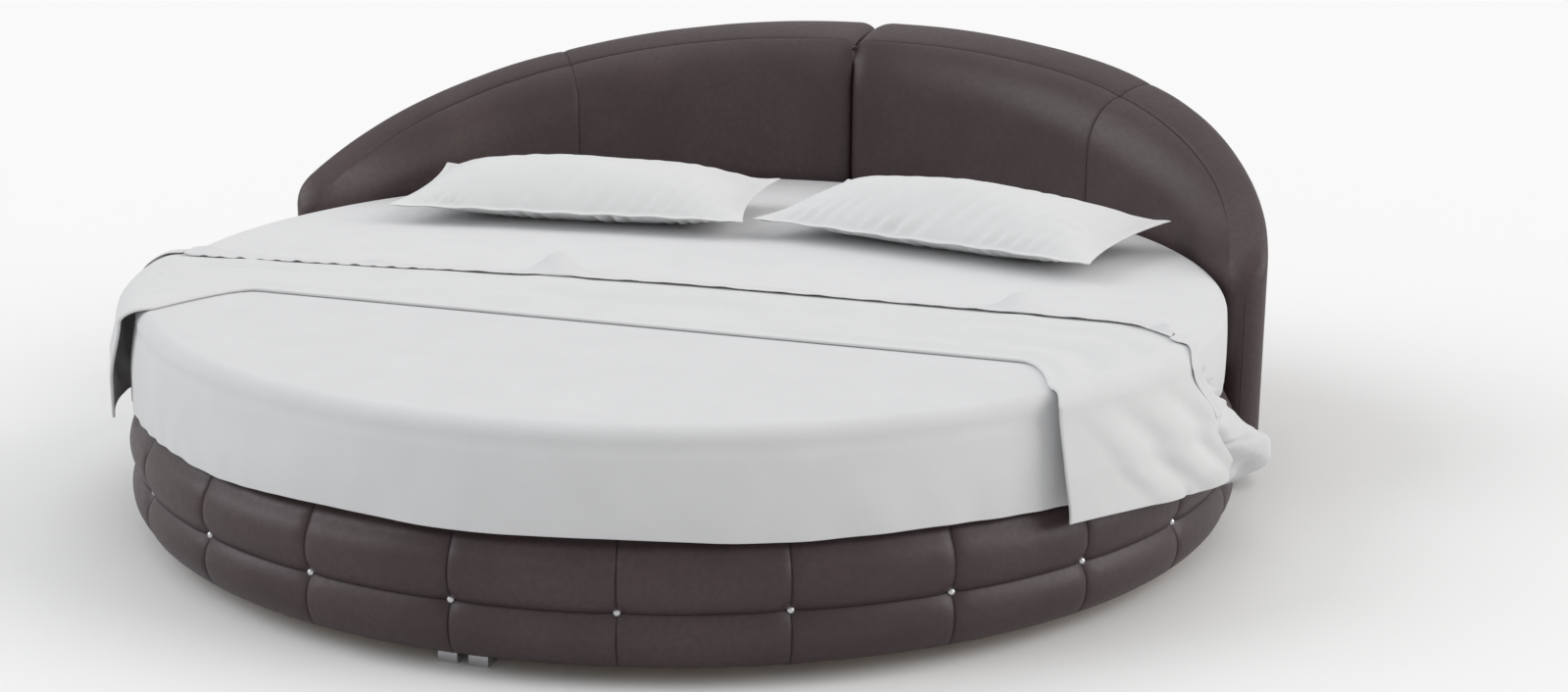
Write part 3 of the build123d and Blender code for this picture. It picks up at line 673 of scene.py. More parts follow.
# %% Section of the headboard
def headboard_section(angles):
    """Sections from the hem up the face, over the border and down the rear, and the rows of seam and rear."""
    nose = nose_share(angles)
    front, back, top = headboard_edges(angles)
    border = np.minimum(border_width(angles) * nose, back - front - 0.4 * MM)
    rounding = np.minimum(rear_rounding(angles), (back - front) * 0.45)
    hem = np.minimum(front + 28 * MM, (front + back) / 2) + 1j * hem_height
    turn = front + 8 * MM * nose + 1j * hem_height
    low = front + 51j * MM
    seam = back - border + 1j * (top - seam_drop * nose)
    face_end = front + 1j * (seam.imag - face_roll)
    brow = back - rounding + 1j * top
    crown = (seam + brow) / 2 + 1j * (5 * MM * nose + 0.05 * MM)
    corner = back - rounding * corner_share + 1j * (top - rounding * corner_share)
    shoulder = back + 1j * (top - rounding)
    side_low, tucked, lower_end = rear_points(angles, back, top)
    parts = [
        straight(hem, turn, even(4)),
        arc_through(turn, front + 2.4 * MM * nose + 45.4j * MM, low, even(5)),
        straight(low, face_end, even(22)),
        leaning_arc(face_end, seam, 1 - crowded(20, 1.9)[::-1]),
        arc_through(seam, crown, brow, crowded(20, 1.9)),
        arc_through(brow, corner, shoulder, even(10)),
        straight(shoulder, side_low, even(6)),
        straight(side_low, tucked, even(4)),
        straight(tucked, lower_end, even(18)),
    ]
    counts = [part.shape[1] - 1 for part in parts]
    return joined(parts), sum(counts[:4]), sum(counts[:6])


print("points in each section:", headboard_section(headboard_angles())[0].shape[1])

# %% Seams of the headboard
def headboard_seams(angles, section, seam_row):
    """Distance of every point from the border's seam and from the upright one, and its way up the section."""
    walked = lengths_along(section, 1)
    below = walked[:, seam_row : seam_row + 1] - walked
    across = np.radians(angles - turn_angle)[:, None] * inner_radius
    corner = 34 * MM
    side_gap, top_gap = corner - across, corner - below
    outside = np.hypot(np.maximum(side_gap, 0), np.maximum(top_gap, 0))
    turned = abs(outside + np.minimum(np.maximum(side_gap, top_gap), 0) - corner)
    over_top = abs(below) + 1.0 * (angles[:, None] < turn_angle)
    border_gap = np.where(below >= 0, turned, over_top)
    upright = abs(np.radians(angles - face_seam_angle))[:, None] * inner_radius * np.ones_like(walked)
    return border_gap, upright, walked


# %% Relief and seam mark of the headboard
def headboard_relief(side, angles, section, seam_row, rear_row):
    """How far each point is drawn in, and the seam mark. Both fade out at the nose and near the floor."""
    border_gap, upright, walked = headboard_seams(angles, section, seam_row)
    ends = (0.08 + 0.92 * fade(angles, 111, 122))[:, None]
    seam = drawn_in(border_gap, wide=2.2 * MM, narrow=3.0 * MM) * ends
    seam = seam + drawn_in(upright, wide=1.6 * MM, narrow=2.6 * MM)
    spot = np.radians(angles)[:, None] * inner_radius * side
    uneven = ripples(spot, walked, length=0.42, seed=31) * 2.2 * MM
    uneven = uneven + ripples(spot, walked, length=0.13, seed=32) * 0.5 * MM
    rear = np.arange(section.shape[1])[None, :] >= rear_row
    nose = fade(angles, wing_angle, wing_angle + 1.6)[:, None]
    shown = fade(section.imag, 60 * MM, 110 * MM) * nose
    inwards = (seam * (1 - rear * 0.5) + uneven * 0.6) * shown * (1 - rear * 0.8)
    mark = np.maximum(ends * bump(border_gap, 0, 1.5 * MM), bump(upright, 0, 1.5 * MM))
    return inwards, mark * shown


# %% Closing the ends of a half
meeting_angle = 179.996
ring_foot = 60 * MM


def closing_ring(section):
    """The last section drawn together round its heart, just before the other half begins."""
    heart = (rear_radius(middle_angle) + inner_radius) / 2
    out = heart + (section.real - heart) * 0.55
    return around(np.array([meeting_angle]), out + 1j * (ring_foot + (section.imag - ring_foot) * 0.9))


def nose_floor(angles, width):
    """Faces that close the nose from below, up to the angle where the back panel begins."""
    starts = [row * width for row in range(1, len(angles)) if angles[row] <= 114.05]
    return [(start, start - width, start - 1, start + width - 1) for start in starts]


# %% Both halves of the headboard
def headboard_half(side):
    """Padded half of the crescent, its seams drawn in and its rounded nose closed."""
    angles = headboard_angles()
    section, seam_row, rear_row = headboard_section(angles)
    inwards, mark = headboard_relief(side, angles, section, seam_row, rear_row)
    grid = around(angles, section)
    grid = grid + facing(grid) * inwards[..., None]
    grid = np.concatenate([grid, closing_ring(section[-1:])])
    mark = np.concatenate([mark, mark[-1:] * 0])
    if side < 0:
        grid = grid * np.array([-1.0, 1.0, 1.0])
    return grid, mark, nose_floor(angles, grid.shape[1])


headboards = {}
for side, name in SIDES:
    grid, mark, extra = headboard_half(side)
    pad = make_piece(f"headboard_cover_{name}", [grid], marks=[mark], extra=extra)
    if side > 0:
        pad.data.flip_normals()
    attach(pad, "bed")
    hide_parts(f"headboard_pad_{name}")
    headboards[name] = pad
    join_close(pad)

# %% [markdown]
# ## The mattress and its fitted sheet
#
# A round mattress is a foam and spring core in a sewn case, with a piped edge round the top and round the
# bottom. The fitted sheet is drawn over it and gathers under its lower edge with elastic. Both are turned
# shapes: one section, spun round. The sheet is a single layer of cloth that keeps just off the mattress.

# %% Turned shapes
bed_top = 448 * MM
bed_bottom = 266.3 * MM
case_radius = 1095 * MM


def spun(section, steps=180):
    """Grid of a section spun all the way round the bed's axis, and the angles of its rows."""
    angles = np.linspace(0.0, 360.0, steps + 1)
    return around(angles, np.repeat(section[None, :], len(angles), axis=0)), angles


# %% Mattress
def mattress_section():
    """Section of the mattress from the middle of its underside to the middle of its top, with piped edges."""
    low, high, bend = bed_bottom + 0.6 * MM, bed_top - 0.8 * MM, 24 * MM
    inside, near = case_radius - bend, case_radius - 7 * MM
    foot = [inside + 1j * low, near + 1j * (low + 7 * MM), case_radius + 1j * (low + bend)]
    brow = [case_radius + 1j * (high - bend), near + 1j * (high - 7 * MM), inside + 1j * high]
    path = joined([
        straight(1j * low, foot[0], even(10)),
        arc_through(*foot, even(8)),
        arc_through(foot[-1], case_radius + 3 * MM + 0.5j * (low + high), brow[0], even(14)),
        arc_through(*brow, even(8)),
        straight(brow[-1], 1j * high, even(10)),
    ])[0]
    piping = bump(path.imag, low + bend, 3 * MM) + bump(path.imag, high - bend, 3 * MM)
    return path - piping * (path.real > case_radius - 5 * MM) * 1.5 * MM


mattress_grid, _ = spun(mattress_section())
mattress = make_piece("mattress_case", [mattress_grid[::-1]])
join_close(mattress)
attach(mattress, "mattress")
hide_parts("mattress")

# %% Section of the fitted sheet
sheet_top = bed_top + 1.6 * MM
cloth_edge = 1070 * MM


def fitted_section():
    """Section of the fitted sheet from the middle of the top, over the edge, down the wall and under."""
    out = 1098 * MM
    brow = [
        cloth_edge + 1j * sheet_top,
        out - 8 * MM + 1j * (sheet_top - 8 * MM),
        out + 1j * (sheet_top - 28 * MM),
    ]
    foot = [out + 290j * MM, out - 9 * MM + 272j * MM, cloth_edge - 4 * MM + 265j * MM]
    return joined([
        straight(1j * sheet_top, brow[0], even(60)),
        arc_through(*brow, even(9)),
        arc_through(brow[-1], out + 2.6 * MM + 356j * MM, foot[0], even(16)),
        arc_through(*foot, even(9)),
        straight(foot[-1], 1022 * MM + 265.2j * MM, even(5)),
    ])[0]


# %% Fitted sheet
section = fitted_section()
fitted_grid, angles = spun(section, steps=240)
walked = lengths_along(section, 0)[None, :]
turn = np.radians(angles)[:, None]
soft = ripples(fitted_grid[..., 0], fitted_grid[..., 1], length=0.30, seed=41)
lies = fade(fitted_grid[..., 2], bed_top - 4 * MM, bed_top)
fitted_grid[..., 2] += (soft * 0.5 - 0.2) * MM * lies
gather = np.sin(turn * 90 + 3 * np.sin(turn * 7)) * (1 - fade(fitted_grid[..., 2], 0.28, 0.36))
fitted_grid[..., :2] *= 1 + gather[..., None] * 0.0012
flat_map = np.stack([walked * np.sin(turn), -walked * np.cos(turn)], axis=-1)
fitted = make_piece("fitted_sheet_drawn", [fitted_grid], maps=[flat_map])
join_close(fitted)
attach(fitted, "mattress")
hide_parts("fitted_sheet")

# %% [markdown]
# ## Cloth with an edge
#
# A hem or a fold looks real only when it has a thickness that ends in a small round edge. `thick_cloth`
# takes the middle of a cloth as one grid and lays a front and a back layer beside it. Both layers run
# together along the rim, where the thickness falls to nothing in a quarter circle.

# %% Two layers from one
def rim_distance(grid):
    """Shortest way from each point of a grid to its rim, measured along the grid's lines."""
    ways = []
    for axis in (0, 1):
        length = lengths_along(grid, axis)
        ways.append(np.minimum(length, np.take(length, [-1], axis=axis) - length))
    return np.minimum(*ways)


def thick_cloth(grid, thickness, rounded):
    """Front and back layers of a cloth of this thickness, joined at its rim by an edge of this radius."""
    gap = np.clip(rim_distance(grid) / rounded, 0, 1)
    lift = thickness / 2 * np.sqrt(1 - (1 - gap) ** 2)
    normal = facing(grid) * lift[..., None]
    return grid + normal, (grid - normal)[::-1]


# %% [markdown]
# ## The top sheet
#
# The top sheet lies over the foot half of the bed, turns over the mattress's edge and hangs to a softly
# waved hem. At its other end it comes out from under the throw and is turned down over it, so a narrow
# strip with a few rumples lies along the throw. The strip's hem lies close to the throw on the left and
# stands a little off it further right, with a dark gap below. At both sides the sheet's corner is pulled
# back under the throw and hangs down behind it, in a ruffled tail that ends in a soft roll against the
# base.
#
# A cloth simulation could drape it, but the folds must fall where the picture has them, and a sheet of
# this size would need a very fine mesh. So the sheet is laid out as lines that run from the turned-down
# hem to the hanging one.

# %% Where the turned-down edge lies
sheet_level = 451.7 * MM
strip_bumps = ((0.050, -0.225, 0.06), (0.036, 0.735, 0.05))


def turned_hem(x):
    """How far towards the foot the turned-down hem lies, across the bed."""
    slant = 0.113 * (np.sqrt(x * x + 0.01) - x) / 2
    return -0.128 - slant - 0.116 * (np.maximum(x - 0.90, 0) / 0.164) ** 2


def turned_fold(x):
    """The fold behind the strip, which lies further back at the two large rumples."""
    strip = 0.040 + 0.005 * np.sin(x * 11) + 0.004 * np.sin(x * 27 + 1)
    for size, where, width in strip_bumps:
        strip = strip + size * bump(x, where, width)
    return turned_hem(x) + strip


print("turned-down strip on the middle line:", round(float(turned_fold(0.0) - turned_hem(0.0)), 3))

# %% Height of the strip
fold_radius = 5 * MM
fold_heart = 457 * MM
crests = (
    (36, -0.225, 0.030, 0.034),
    (26, 0.735, 0.025, 0.030),
    (15, 1.020, 0.0, 0.018),
    (14, -1.005, 0.0, 0.050),
    (7, -0.620, 0.0, 0.030),
)


def strip_heights(x, shares):
    """Height of the strip in metres, from its hem, close to the throw or off it, to the top of the fold."""
    tight = (1 - fade(x, -0.60, -0.35))[:, None]
    ruffle = np.maximum(0.4 + 0.7 * np.sin(x * 61) + 0.6 * np.sin(x * 97 + 2), 0)[:, None]
    lifts = np.maximum(0.2 + 0.9 * np.sin(x * 150) + 0.5 * np.sin(x * 97 + 2), 0)[:, None]
    hem = 463.6 + ruffle + tight * (-2.5 + 2.2 * lifts - ruffle)
    return (hem * (1 - shares) + 461.4 * shares) * MM


def strip_crests(place, backwards):
    """Rise of the rumples in metres. Each has its height, its place, how far it leans and its width."""
    rise = 1.6 * MM * np.sin(place * 23 + backwards * 2.0) * np.sin(backwards * math.pi)
    for tall, where, lean, width in crests:
        rise = rise + tall * MM * bump(place, where - lean * backwards, width) * backwards
    return np.maximum(rise, -1.0 * MM)


# %% The strip and its fold
def turned_strip(x):
    """Lines from the turned-down hem back over the throw and round the fold, one for each place across."""
    shares = even(13)[None, :]
    hem, fold = turned_hem(x)[:, None], turned_fold(x)[:, None]
    middle = fold - fold_radius
    turn = np.linspace(math.pi / 2, -math.pi / 2, 9)[None, 1:]
    along = np.concatenate([hem + (middle - hem) * shares, middle + fold_radius * np.cos(turn)], axis=1)
    bend = fold_heart + fold_radius * np.sin(turn) + 0 * fold
    height = np.concatenate([strip_heights(x, shares), bend], axis=1)
    backwards = np.clip((along - hem) / (fold - hem), 0, 1)
    place = x[:, None] * np.ones_like(along)
    height = height + strip_crests(place, backwards) * fade(height, 455 * MM, 461 * MM)
    return np.stack([place, along, height], axis=-1)


# %% The part that lies on the bed
def lying_sheet():
    """The sheet from its turned-down hem to the rim, one line for each angle along the foot half."""
    angles = np.linspace(-77.5, 77.5, 360)
    turn = np.radians(angles)
    rim = np.stack([np.sin(turn), -np.cos(turn)], axis=-1) * cloth_edge
    start_x = rim[:, 0] * 0.995
    start_y = np.maximum(turned_fold(start_x) - fold_radius, rim[:, 1] + 1 * MM)
    start = np.stack([start_x, start_y], axis=-1)
    shares = np.concatenate([crowded(24, 1.3)[1:] * 0.5, 0.5 + np.linspace(0.02, 0.5, 26)])
    flat = start[:, None, :] + (rim - start)[:, None, :] * shares[None, :, None]
    x, y = flat[..., 0], flat[..., 1]
    soft = abs(ripples(x, y, length=0.5, seed=51)) * 1.0 * MM * fade(turned_hem(x) - y, 0.32, 0.5)
    top = np.concatenate([flat, (sheet_level + soft)[..., None]], axis=-1)
    return angles, np.concatenate([turned_strip(start_x), top], axis=1)


# %% The part that hangs
sheet_shoulder = 1102.6 * MM


def sheet_hem(angle):
    """Height of the hanging hem round the bed."""
    hem = 258.5 + 4.5 * np.cos(0.0628 * (angle + 2)) + 2.6 * np.cos(0.230 * (angle - 14.3))
    return (hem - 6 * bump(angle, 63, 8)) * MM


def hanging_folds(turn, fall, height):
    """How far the hanging sheet stands out from its shoulder: a belly, slow waves and folds at both sides."""
    belly = 14.5 * MM * np.sin(np.clip(fall, 0, 1.2) * math.pi * 0.74) ** 0.9 * fade(fall, 0.0, 0.12)
    slow = 0.5 * np.sin(turn * 0.21 + 0.6) + 0.3 * np.sin(turn * 0.47 + 2) + 0.2 * np.sin(turn * 0.93 + 4)
    beside = 1 - fade(turn, -38, -12) + fade(turn, 36, 58)
    folds = beside * 2.0 * np.sin(turn * 1.55 + 1.3 * np.sin(turn * 0.31) + 0.6 * fall)
    out = belly + slow * 2.0 * MM * fade(fall, 0.1, 1.0) + folds * MM * fade(fall, 0.35, 1.0)
    uneven = ripples(turn * 0.0195, height, length=0.12, seed=53)
    return out + 1.0 * MM * uneven * fade(fall, 0.05, 0.4)


def hanging_sheet(angles):
    """The part of the sheet that hangs: over the edge, out to a slight belly and in again to the hem."""
    bend = 30 * MM
    start = sheet_level - bend
    middle = sheet_shoulder - 9 * MM + 1j * (sheet_level - 8 * MM)
    brow = arc_through(cloth_edge + 1j * sheet_level, middle, sheet_shoulder + 1j * start, even(12))
    shares = np.concatenate([np.linspace(0, 0.94, 26), 0.94 + even(8)[1:] * 0.06])
    height = start + (sheet_hem(angles) - start)[:, None] * shares[None, :]
    out = sheet_shoulder + hanging_folds(angles[:, None], (start - height) / (200 * MM), height)
    section = np.concatenate([np.repeat(brow, len(angles), axis=0), (out + 1j * height)[:, 1:]], axis=1)
    return around(angles, section)


# %% [markdown]
# At the sides the throw and the sheet's tail share one dark line, and the throw lies on the sheet in
# front of it. Both shapes are worked out from how far the cloth has dropped from the top, so they stay
# side by side.

# %% The line where the tail and the throw meet
def meeting_line(drop):
    """Angle of the dark line that runs down the side between the throw and the sheet's tail."""
    # It comes forward as it turns over the bed's edge, and then it sweeps back as it falls.
    over_edge = (1 - np.clip(drop / (18 * MM), 0, 1)) ** 2
    lower = np.clip((drop - 140 * MM) / (135 * MM), 0, 1.3)
    return 74.2 + 3.1 * over_edge + 3.8 * fade(drop, 20 * MM, 140 * MM) + 9.0 * lower**1.3


print("dark line from the edge down:", [round(float(meeting_line(drop)), 1) for drop in (0.0, 0.1, 0.2)])


def throw_out(drop):
    """Distance of the hanging throw from the bed's axis, without its folds."""
    # The throw turns over the edge in a quarter circle, leans out a little and comes in again at its hem.
    turned = np.clip(drop / (26 * MM), 0, 1)
    out = 1084 * MM + 52 * MM * np.sqrt(1 - (1 - turned) ** 2)
    return out + 20 * MM * fade(drop, 20 * MM, 150 * MM) - 12 * MM * fade(drop, 225 * MM, 300 * MM)


# %% Plan of the tail
tail_length = 334 * MM
tail_level = 453.4 * MM


def tail_plan(across, down):
    """Drop and angle of the tail's points, their share on top of the throw, and their ruffle."""
    drop = down * tail_length * (1 - 0.13 * abs(2 * across - 1.1) ** 2.4)
    inner = meeting_line(np.minimum(drop, 150 * MM)) + 25 * np.maximum(drop - 150 * MM, 0)
    outer = 78.4 + 64 * np.maximum(drop - 20 * MM, 0) + 2.5 * fade(drop, 200 * MM, 260 * MM)
    outer = outer + 1.8 * (1 - np.clip(drop / (20 * MM), 0, 1)) ** 2
    free = across**2.2 * fade(drop, 8 * MM, 30 * MM) * (1 - fade(drop, 120 * MM, 180 * MM))
    wobble = np.sin(drop * 2 * math.pi / (33 * MM)) + 0.5 * np.sin(drop * 2 * math.pi / (57 * MM) + 1)
    angle = inner + (outer - inner) * across + 0.28 * wobble * free
    on_throw = (1 - fade(angle - inner, 1.5, 3.1)) * (1 - fade(drop, 125 * MM, 165 * MM))
    return drop, angle, on_throw, (wobble + 1.4) * free


# %% How far out the tail lies
roll_angle = 91.5
roll_drop = 266 * MM
roll_size = 61 * MM
roll_turn = 32 * MM


def tail_out(drop, angle, on_throw):
    """Distance from the bed's axis: beside the mattress, over the throw's edge, and out over the roll."""
    turned = np.clip(drop / (28 * MM), 0, 1)
    clear = 0.30 + 0.70 * fade(angle - meeting_line(drop), 0.0, 4.5)
    beside = 1073 * MM + 32 * MM * np.sqrt(1 - (1 - turned) ** 2)
    beside = beside + 4 * MM * fade(drop, 0.0, 40 * MM) + 33 * MM * fade(drop, 110 * MM, 185 * MM) * clear
    out = beside + (throw_out(drop) + 7.5 * MM - beside) * on_throw
    roll = bump(angle, roll_angle, 4.0) * np.exp(-(abs((drop - roll_drop) / (64 * MM)) ** 3.2))
    return out + roll_size * roll


def turned_under(across, down, drop):
    """How far the roll's lower edge and its end turn in towards the base."""
    low = np.clip(1 - (1 - down) / 0.09, 0, 1)
    end = np.clip(1 - (1 - across) / 0.22, 0, 1) * fade(drop, 170 * MM, 230 * MM)
    return roll_turn * (1 - np.sqrt(1 - np.maximum(low, end) ** 2))


def roll_creases(across, drop, angle):
    """Depth of the roll's two creases, a level one and a bent one."""
    level = bump(drop, 219 * MM + 6 * MM * across, 5 * MM) * fade(across, 0.2, 0.4)
    bent = bump(angle, 88.8 + 60 * np.maximum(262 * MM - drop, 0), 0.55)
    return 6 * MM * level + 9 * MM * bent * fade(drop, 214 * MM, 236 * MM)


# %% The pulled-back tail at each side
def sheet_tail(side):
    """The ruffled corner beside the throw: over its back edge at the top, under it below, then rolled."""
    across = both_ways(22, 1.2)[:, None]
    down = [crowded(14, 1.6) * 0.1, np.linspace(0.11, 0.9, 60), 0.9 + even(16)[1:] * 0.1]
    down = np.concatenate(down)[None, :]
    drop, angle, on_throw, ruffle = tail_plan(across, down)
    out = tail_out(drop, angle, on_throw) + 6.0 * MM * ruffle
    out = out - turned_under(across, down, drop) - roll_creases(across, drop, angle)
    height = tail_level + 10 * MM * on_throw * (1 - fade(drop, 0.0, 22 * MM)) - drop
    lead, tucked = even(8)[None, :-1], 1056 * MM
    angle = np.concatenate([angle[:, :1] + 1.3 * (1 - lead) ** 2, angle], axis=1)
    out = np.concatenate([tucked + (out[:, :1] - tucked) * lead, out], axis=1)
    height = np.concatenate([height[:, :1] + 0 * lead, height], axis=1)
    grid = around(angle * side, out + 1j * height)
    return grid if side > 0 else grid[::-1]


# %% Top sheet
angles, lying = lying_sheet()
sheet_grid = np.concatenate([lying[:, :-1], hanging_sheet(angles)], axis=1)
layers, cloth_maps = [], []
for grid in (sheet_grid, sheet_tail(1), sheet_tail(-1)):
    layers += thick_cloth(grid, thickness=1.6 * MM, rounded=1.0 * MM)
    along = lengths_along(grid, 1)
    flat = np.stack([np.linspace(0, 2.2, grid.shape[0])[:, None] * np.ones_like(along), along], axis=-1)
    cloth_maps += [flat, flat[::-1]]
sheet = make_piece("top_sheet_draped", layers, maps=cloth_maps)
join_close(sheet)
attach(sheet, "mattress")
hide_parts("top_sheet")

# %% [markdown]
# ## The throw
#
# The throw is folded to a band and laid across the bed, so its front edge is a soft fold. Its ends hang
# over both sides. The weight of each end pulls folds that start together where the front edge goes over
# the mattress and spread like a fan towards the hem.
#
# Its lines run across the bed from hem to hem. On top they only have to follow the front and the back
# edge. Over the side they are worked out from how far they have dropped: the further down, the further
# they lean towards the head.

# %% Where the throw goes over the edge
front_line = -0.446
front_rim = {1: 56.7, -1: 52.6}
back_rim = {1: 79.5, -1: 78.6}
corner_start = {1: 0.905, -1: 0.870}
throw_level = 456.5 * MM


def throw_side(side, across):
    """Points on one half of the bed's top, from the middle to the rim, for each place across the throw."""
    shares = np.sin(np.linspace(0, math.pi / 2, 80))[:, None]
    rim_angle = np.radians(front_rim[side] + (back_rim[side] - front_rim[side]) * across)
    rim_x, rim_y = cloth_edge * np.sin(rim_angle), -cloth_edge * np.cos(rim_angle)
    x = shares * rim_x * side

    def straight_y(place):
        back = turned_fold(place) - 9 * MM
        return front_line + (back - front_line) * across

    start = corner_start[side] - 0.08 * across
    bend = np.clip((shares - start) / (1 - start), 0, 1) ** 2
    return x, straight_y(x) + (rim_y - straight_y(rim_x * side)) * bend


# %% How the ends hang
wide_pleat = 0.200
fine_pleat = 0.097
ridge_height = 14 * MM


def fan(across, drop):
    """The folds of an end: soft ridges that run down and back from the front corner."""
    # The place across the folds falls as the cloth drops, so the folds run back towards the hem.
    place = across * 0.58 - 0.93 * drop - 0.35 * drop * (0.45 - across)
    wide = np.cos((place - 0.06) * 2 * math.pi / wide_pleat)
    fine = np.cos((place - 0.02) * 2 * math.pi / fine_pleat)
    ridge = 0.80 * (0.5 + 0.5 * wide) ** 1.2 + 0.07 * fine
    kept = fade(place, -0.03, 0.07) * (1 - fade(across, 0.86, 1.0) * 0.7)
    return (ridge - 0.3) * kept


def throw_front(side, drop):
    """Angle of the front edge of a hanging end. The left one hangs a little further forward."""
    if side > 0:
        over_edge = (1 - np.clip(drop / (20 * MM), 0, 1)) ** 2
        return 55.0 + 1.3 * over_edge + 0.7 * fade(drop, 0.12, 0.22)
    return 52.4 + 1.6 * fade(drop, 0.0, 0.11) + 1.0 * fade(drop, 0.12, 0.24)


def throw_end(side, down, across):
    """Grid of the hanging end, for the share of the way down and the place across it."""
    hem = (230 - 84 * across**1.9 + 55 * fade(across, 0.88, 1.0)) * MM
    drop = down * (throw_level - hem)
    front = throw_front(side, drop)
    back = meeting_line(drop) + 2.2 * (1 - fade(drop, 0.12, 0.165))
    ridges = ridge_height * fan(across, drop) * fade(drop, 0.0, 0.13) * (1 - 0.4 * fade(down, 0.7, 1.0))
    dent = 6 * MM * bump(across, 0.60, 0.022) * bump(down, 1.0, 0.09)
    section = throw_out(drop) + ridges - dent + 1j * (throw_level - drop)
    return around((front + (back - front) * across) * side, section)


# %% The part of the throw that lies on the bed
def throw_top(side, across):
    """One half of the lying part, with long waves and the beginning of the end's folds."""
    x, y = throw_side(side, across)
    near = fade(abs(x), 0.35, 0.95)
    middle = fade(across, 0.04, 0.16) * (1 - fade(across, 0.80, 0.90))
    long_waves = 2.4 * np.sin(across * 11 + x * 1.6) + 1.6 * np.sin(across * 21 - x * 2.6 + 1)
    fold = 7.0 * fan(across, 0.0) * near
    z = throw_level + ((long_waves + 1.6) * (1 - 0.5 * near) + fold) * MM * middle
    z = z + 0.8 * MM * ripples(x, y, length=0.22, seed=61) * middle
    return np.stack([x, y, z], axis=-1)


# %% One grid from hem to hem
def throw_grid():
    """The middle of the throw, one line across the bed for each place between its front and back edge."""
    across = both_ways(38, 1.5)[None, :]
    down = [crowded(22, 1.5) * 0.3, 0.3 + np.linspace(0.02, 0.64, 44), 0.94 + even(9)[1:] * 0.06]
    down = np.concatenate(down)[:, None]
    left, right = [
        np.concatenate([throw_top(side, across)[:-1], throw_end(side, down, across)]) for side in (-1, 1)
    ]
    return np.concatenate([left[:0:-1], right])


grid = throw_grid()
along = lengths_along(grid, 0)
flat = np.stack([along, np.linspace(0, 0.42, grid.shape[1])[None, :] * np.ones_like(along)], axis=-1)
layers = thick_cloth(grid, thickness=6.0 * MM, rounded=3.4 * MM)
throw = make_piece("throw_draped", layers, maps=[flat, flat[::-1]])
join_close(throw)
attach(throw, "mattress")
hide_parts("throw")

# %% [markdown]
# ## The pillows
#
# Each pillow is a soft body inside a case with a narrow flange and pointed corners. The body swells,
# pulls the case's sides in and puckers along the seam. That swelling is what cloth simulation does well:
# a flat bag is given an inner pressure for some frames, and its heights are read back. They are mixed
# with an even crown, because a real pillow's filling is stiffer than air, and then laid into the case's
# outline. The seam's fine puckers are added as waves.

# %% The flat bag
pillow_size = (0.820, 0.400)


def case_outline(a, b, hollow):
    """Place of the case's point a, b (each -1 to 1) with sides that curve in between pointed corners."""
    width, depth = pillow_size
    x = a * (width / 2 - hollow * (1 - b * b) * abs(a))
    y = b * (depth / 2 - hollow * 0.6 * (1 - a * a) * abs(b))
    return x, y


def bag_mesh(name, columns, rows):
    """Closed, nearly flat bag: an upper and a lower grid of points that share their rim."""
    a, b = np.meshgrid(np.linspace(-1, 1, columns), np.linspace(-1, 1, rows), indexing="ij")
    x, y = case_outline(a, b, hollow=8 * MM)
    rise = 26 * MM * ((1 - a**2) * (1 - b**2)) ** 0.5
    points = np.concatenate([np.stack([x, y, way * rise], axis=-1).reshape(-1, 3) for way in (1, -1)])
    upper = np.arange(columns * rows).reshape(columns, rows)
    lower = np.where(rise < 1e-6, upper, upper + columns * rows)
    mesh = bpy.data.meshes.new(name)
    mesh.from_pydata(points.tolist(), [], quads(upper) + quads(lower[::-1]))
    bag = bpy.data.objects.new(name, mesh)
    bpy.context.scene.collection.objects.link(bag)
    return bag, rise


# %% The swelling
def swell(bag, frames=22, pressure=6.0):
    """Inflates the bag with a cloth simulation and returns its points."""
    cloth = bag.modifiers.new("cloth", "CLOTH")
    cloth.settings.use_pressure = True
    cloth.settings.uniform_pressure_force = pressure
    cloth.settings.effector_weights.gravity = 0.0
    cloth.settings.quality = 6
    cloth.settings.mass = 0.25
    cloth.settings.tension_stiffness = 25.0
    cloth.settings.compression_stiffness = 8.0
    cloth.settings.bending_stiffness = 0.4
    cloth.point_cache.frame_start = 1
    cloth.point_cache.frame_end = frames
    for number in range(1, frames + 1):
        bpy.context.scene.frame_set(number)
    swollen = bpy.data.meshes.new_from_object(bag.evaluated_get(bpy.context.evaluated_depsgraph_get()))
    points = np.zeros(len(swollen.vertices) * 3, np.float32)
    swollen.vertices.foreach_get("co", points)
    bpy.data.meshes.remove(swollen)
    bpy.context.scene.frame_set(1)
    return points.reshape(-1, 3).astype(float)


def bag_heights(columns=72, rows=36):
    """Height of the swollen bag over its length and depth, from 0 to about 1."""
    bag, heights = bag_mesh("bag", columns, rows)
    heights = swell(bag)[: columns * rows, 2].reshape(columns, rows)
    bpy.data.objects.remove(bag)
    return heights / np.quantile(heights, 0.97)


# %% Height of the filling
flange = 12 * MM
bag_share = 0.38
filling_above = 79 * MM
filling_below = 54 * MM


def read_at(heights, a, b):
    """Heights of the bag at these places, between its own points."""
    rows = np.linspace(-1, 1, heights.shape[1])
    columns = np.linspace(-1, 1, heights.shape[0])
    first = np.array([np.interp(b, rows, line) for line in heights])
    return np.array([np.interp(a, columns, line) for line in first.T]).T


def fullness(heights, a, b):
    """Height of the filling from 0 to 1: the bag's own, mixed with an even crown."""
    crown = ((1 - abs(a) ** 3.4) ** 0.70)[:, None] * ((1 - abs(b) ** 2.2) ** 0.86)[None, :]
    return (1 - bag_share) * crown + bag_share * np.clip(read_at(heights, a, b), 0, 1.1)


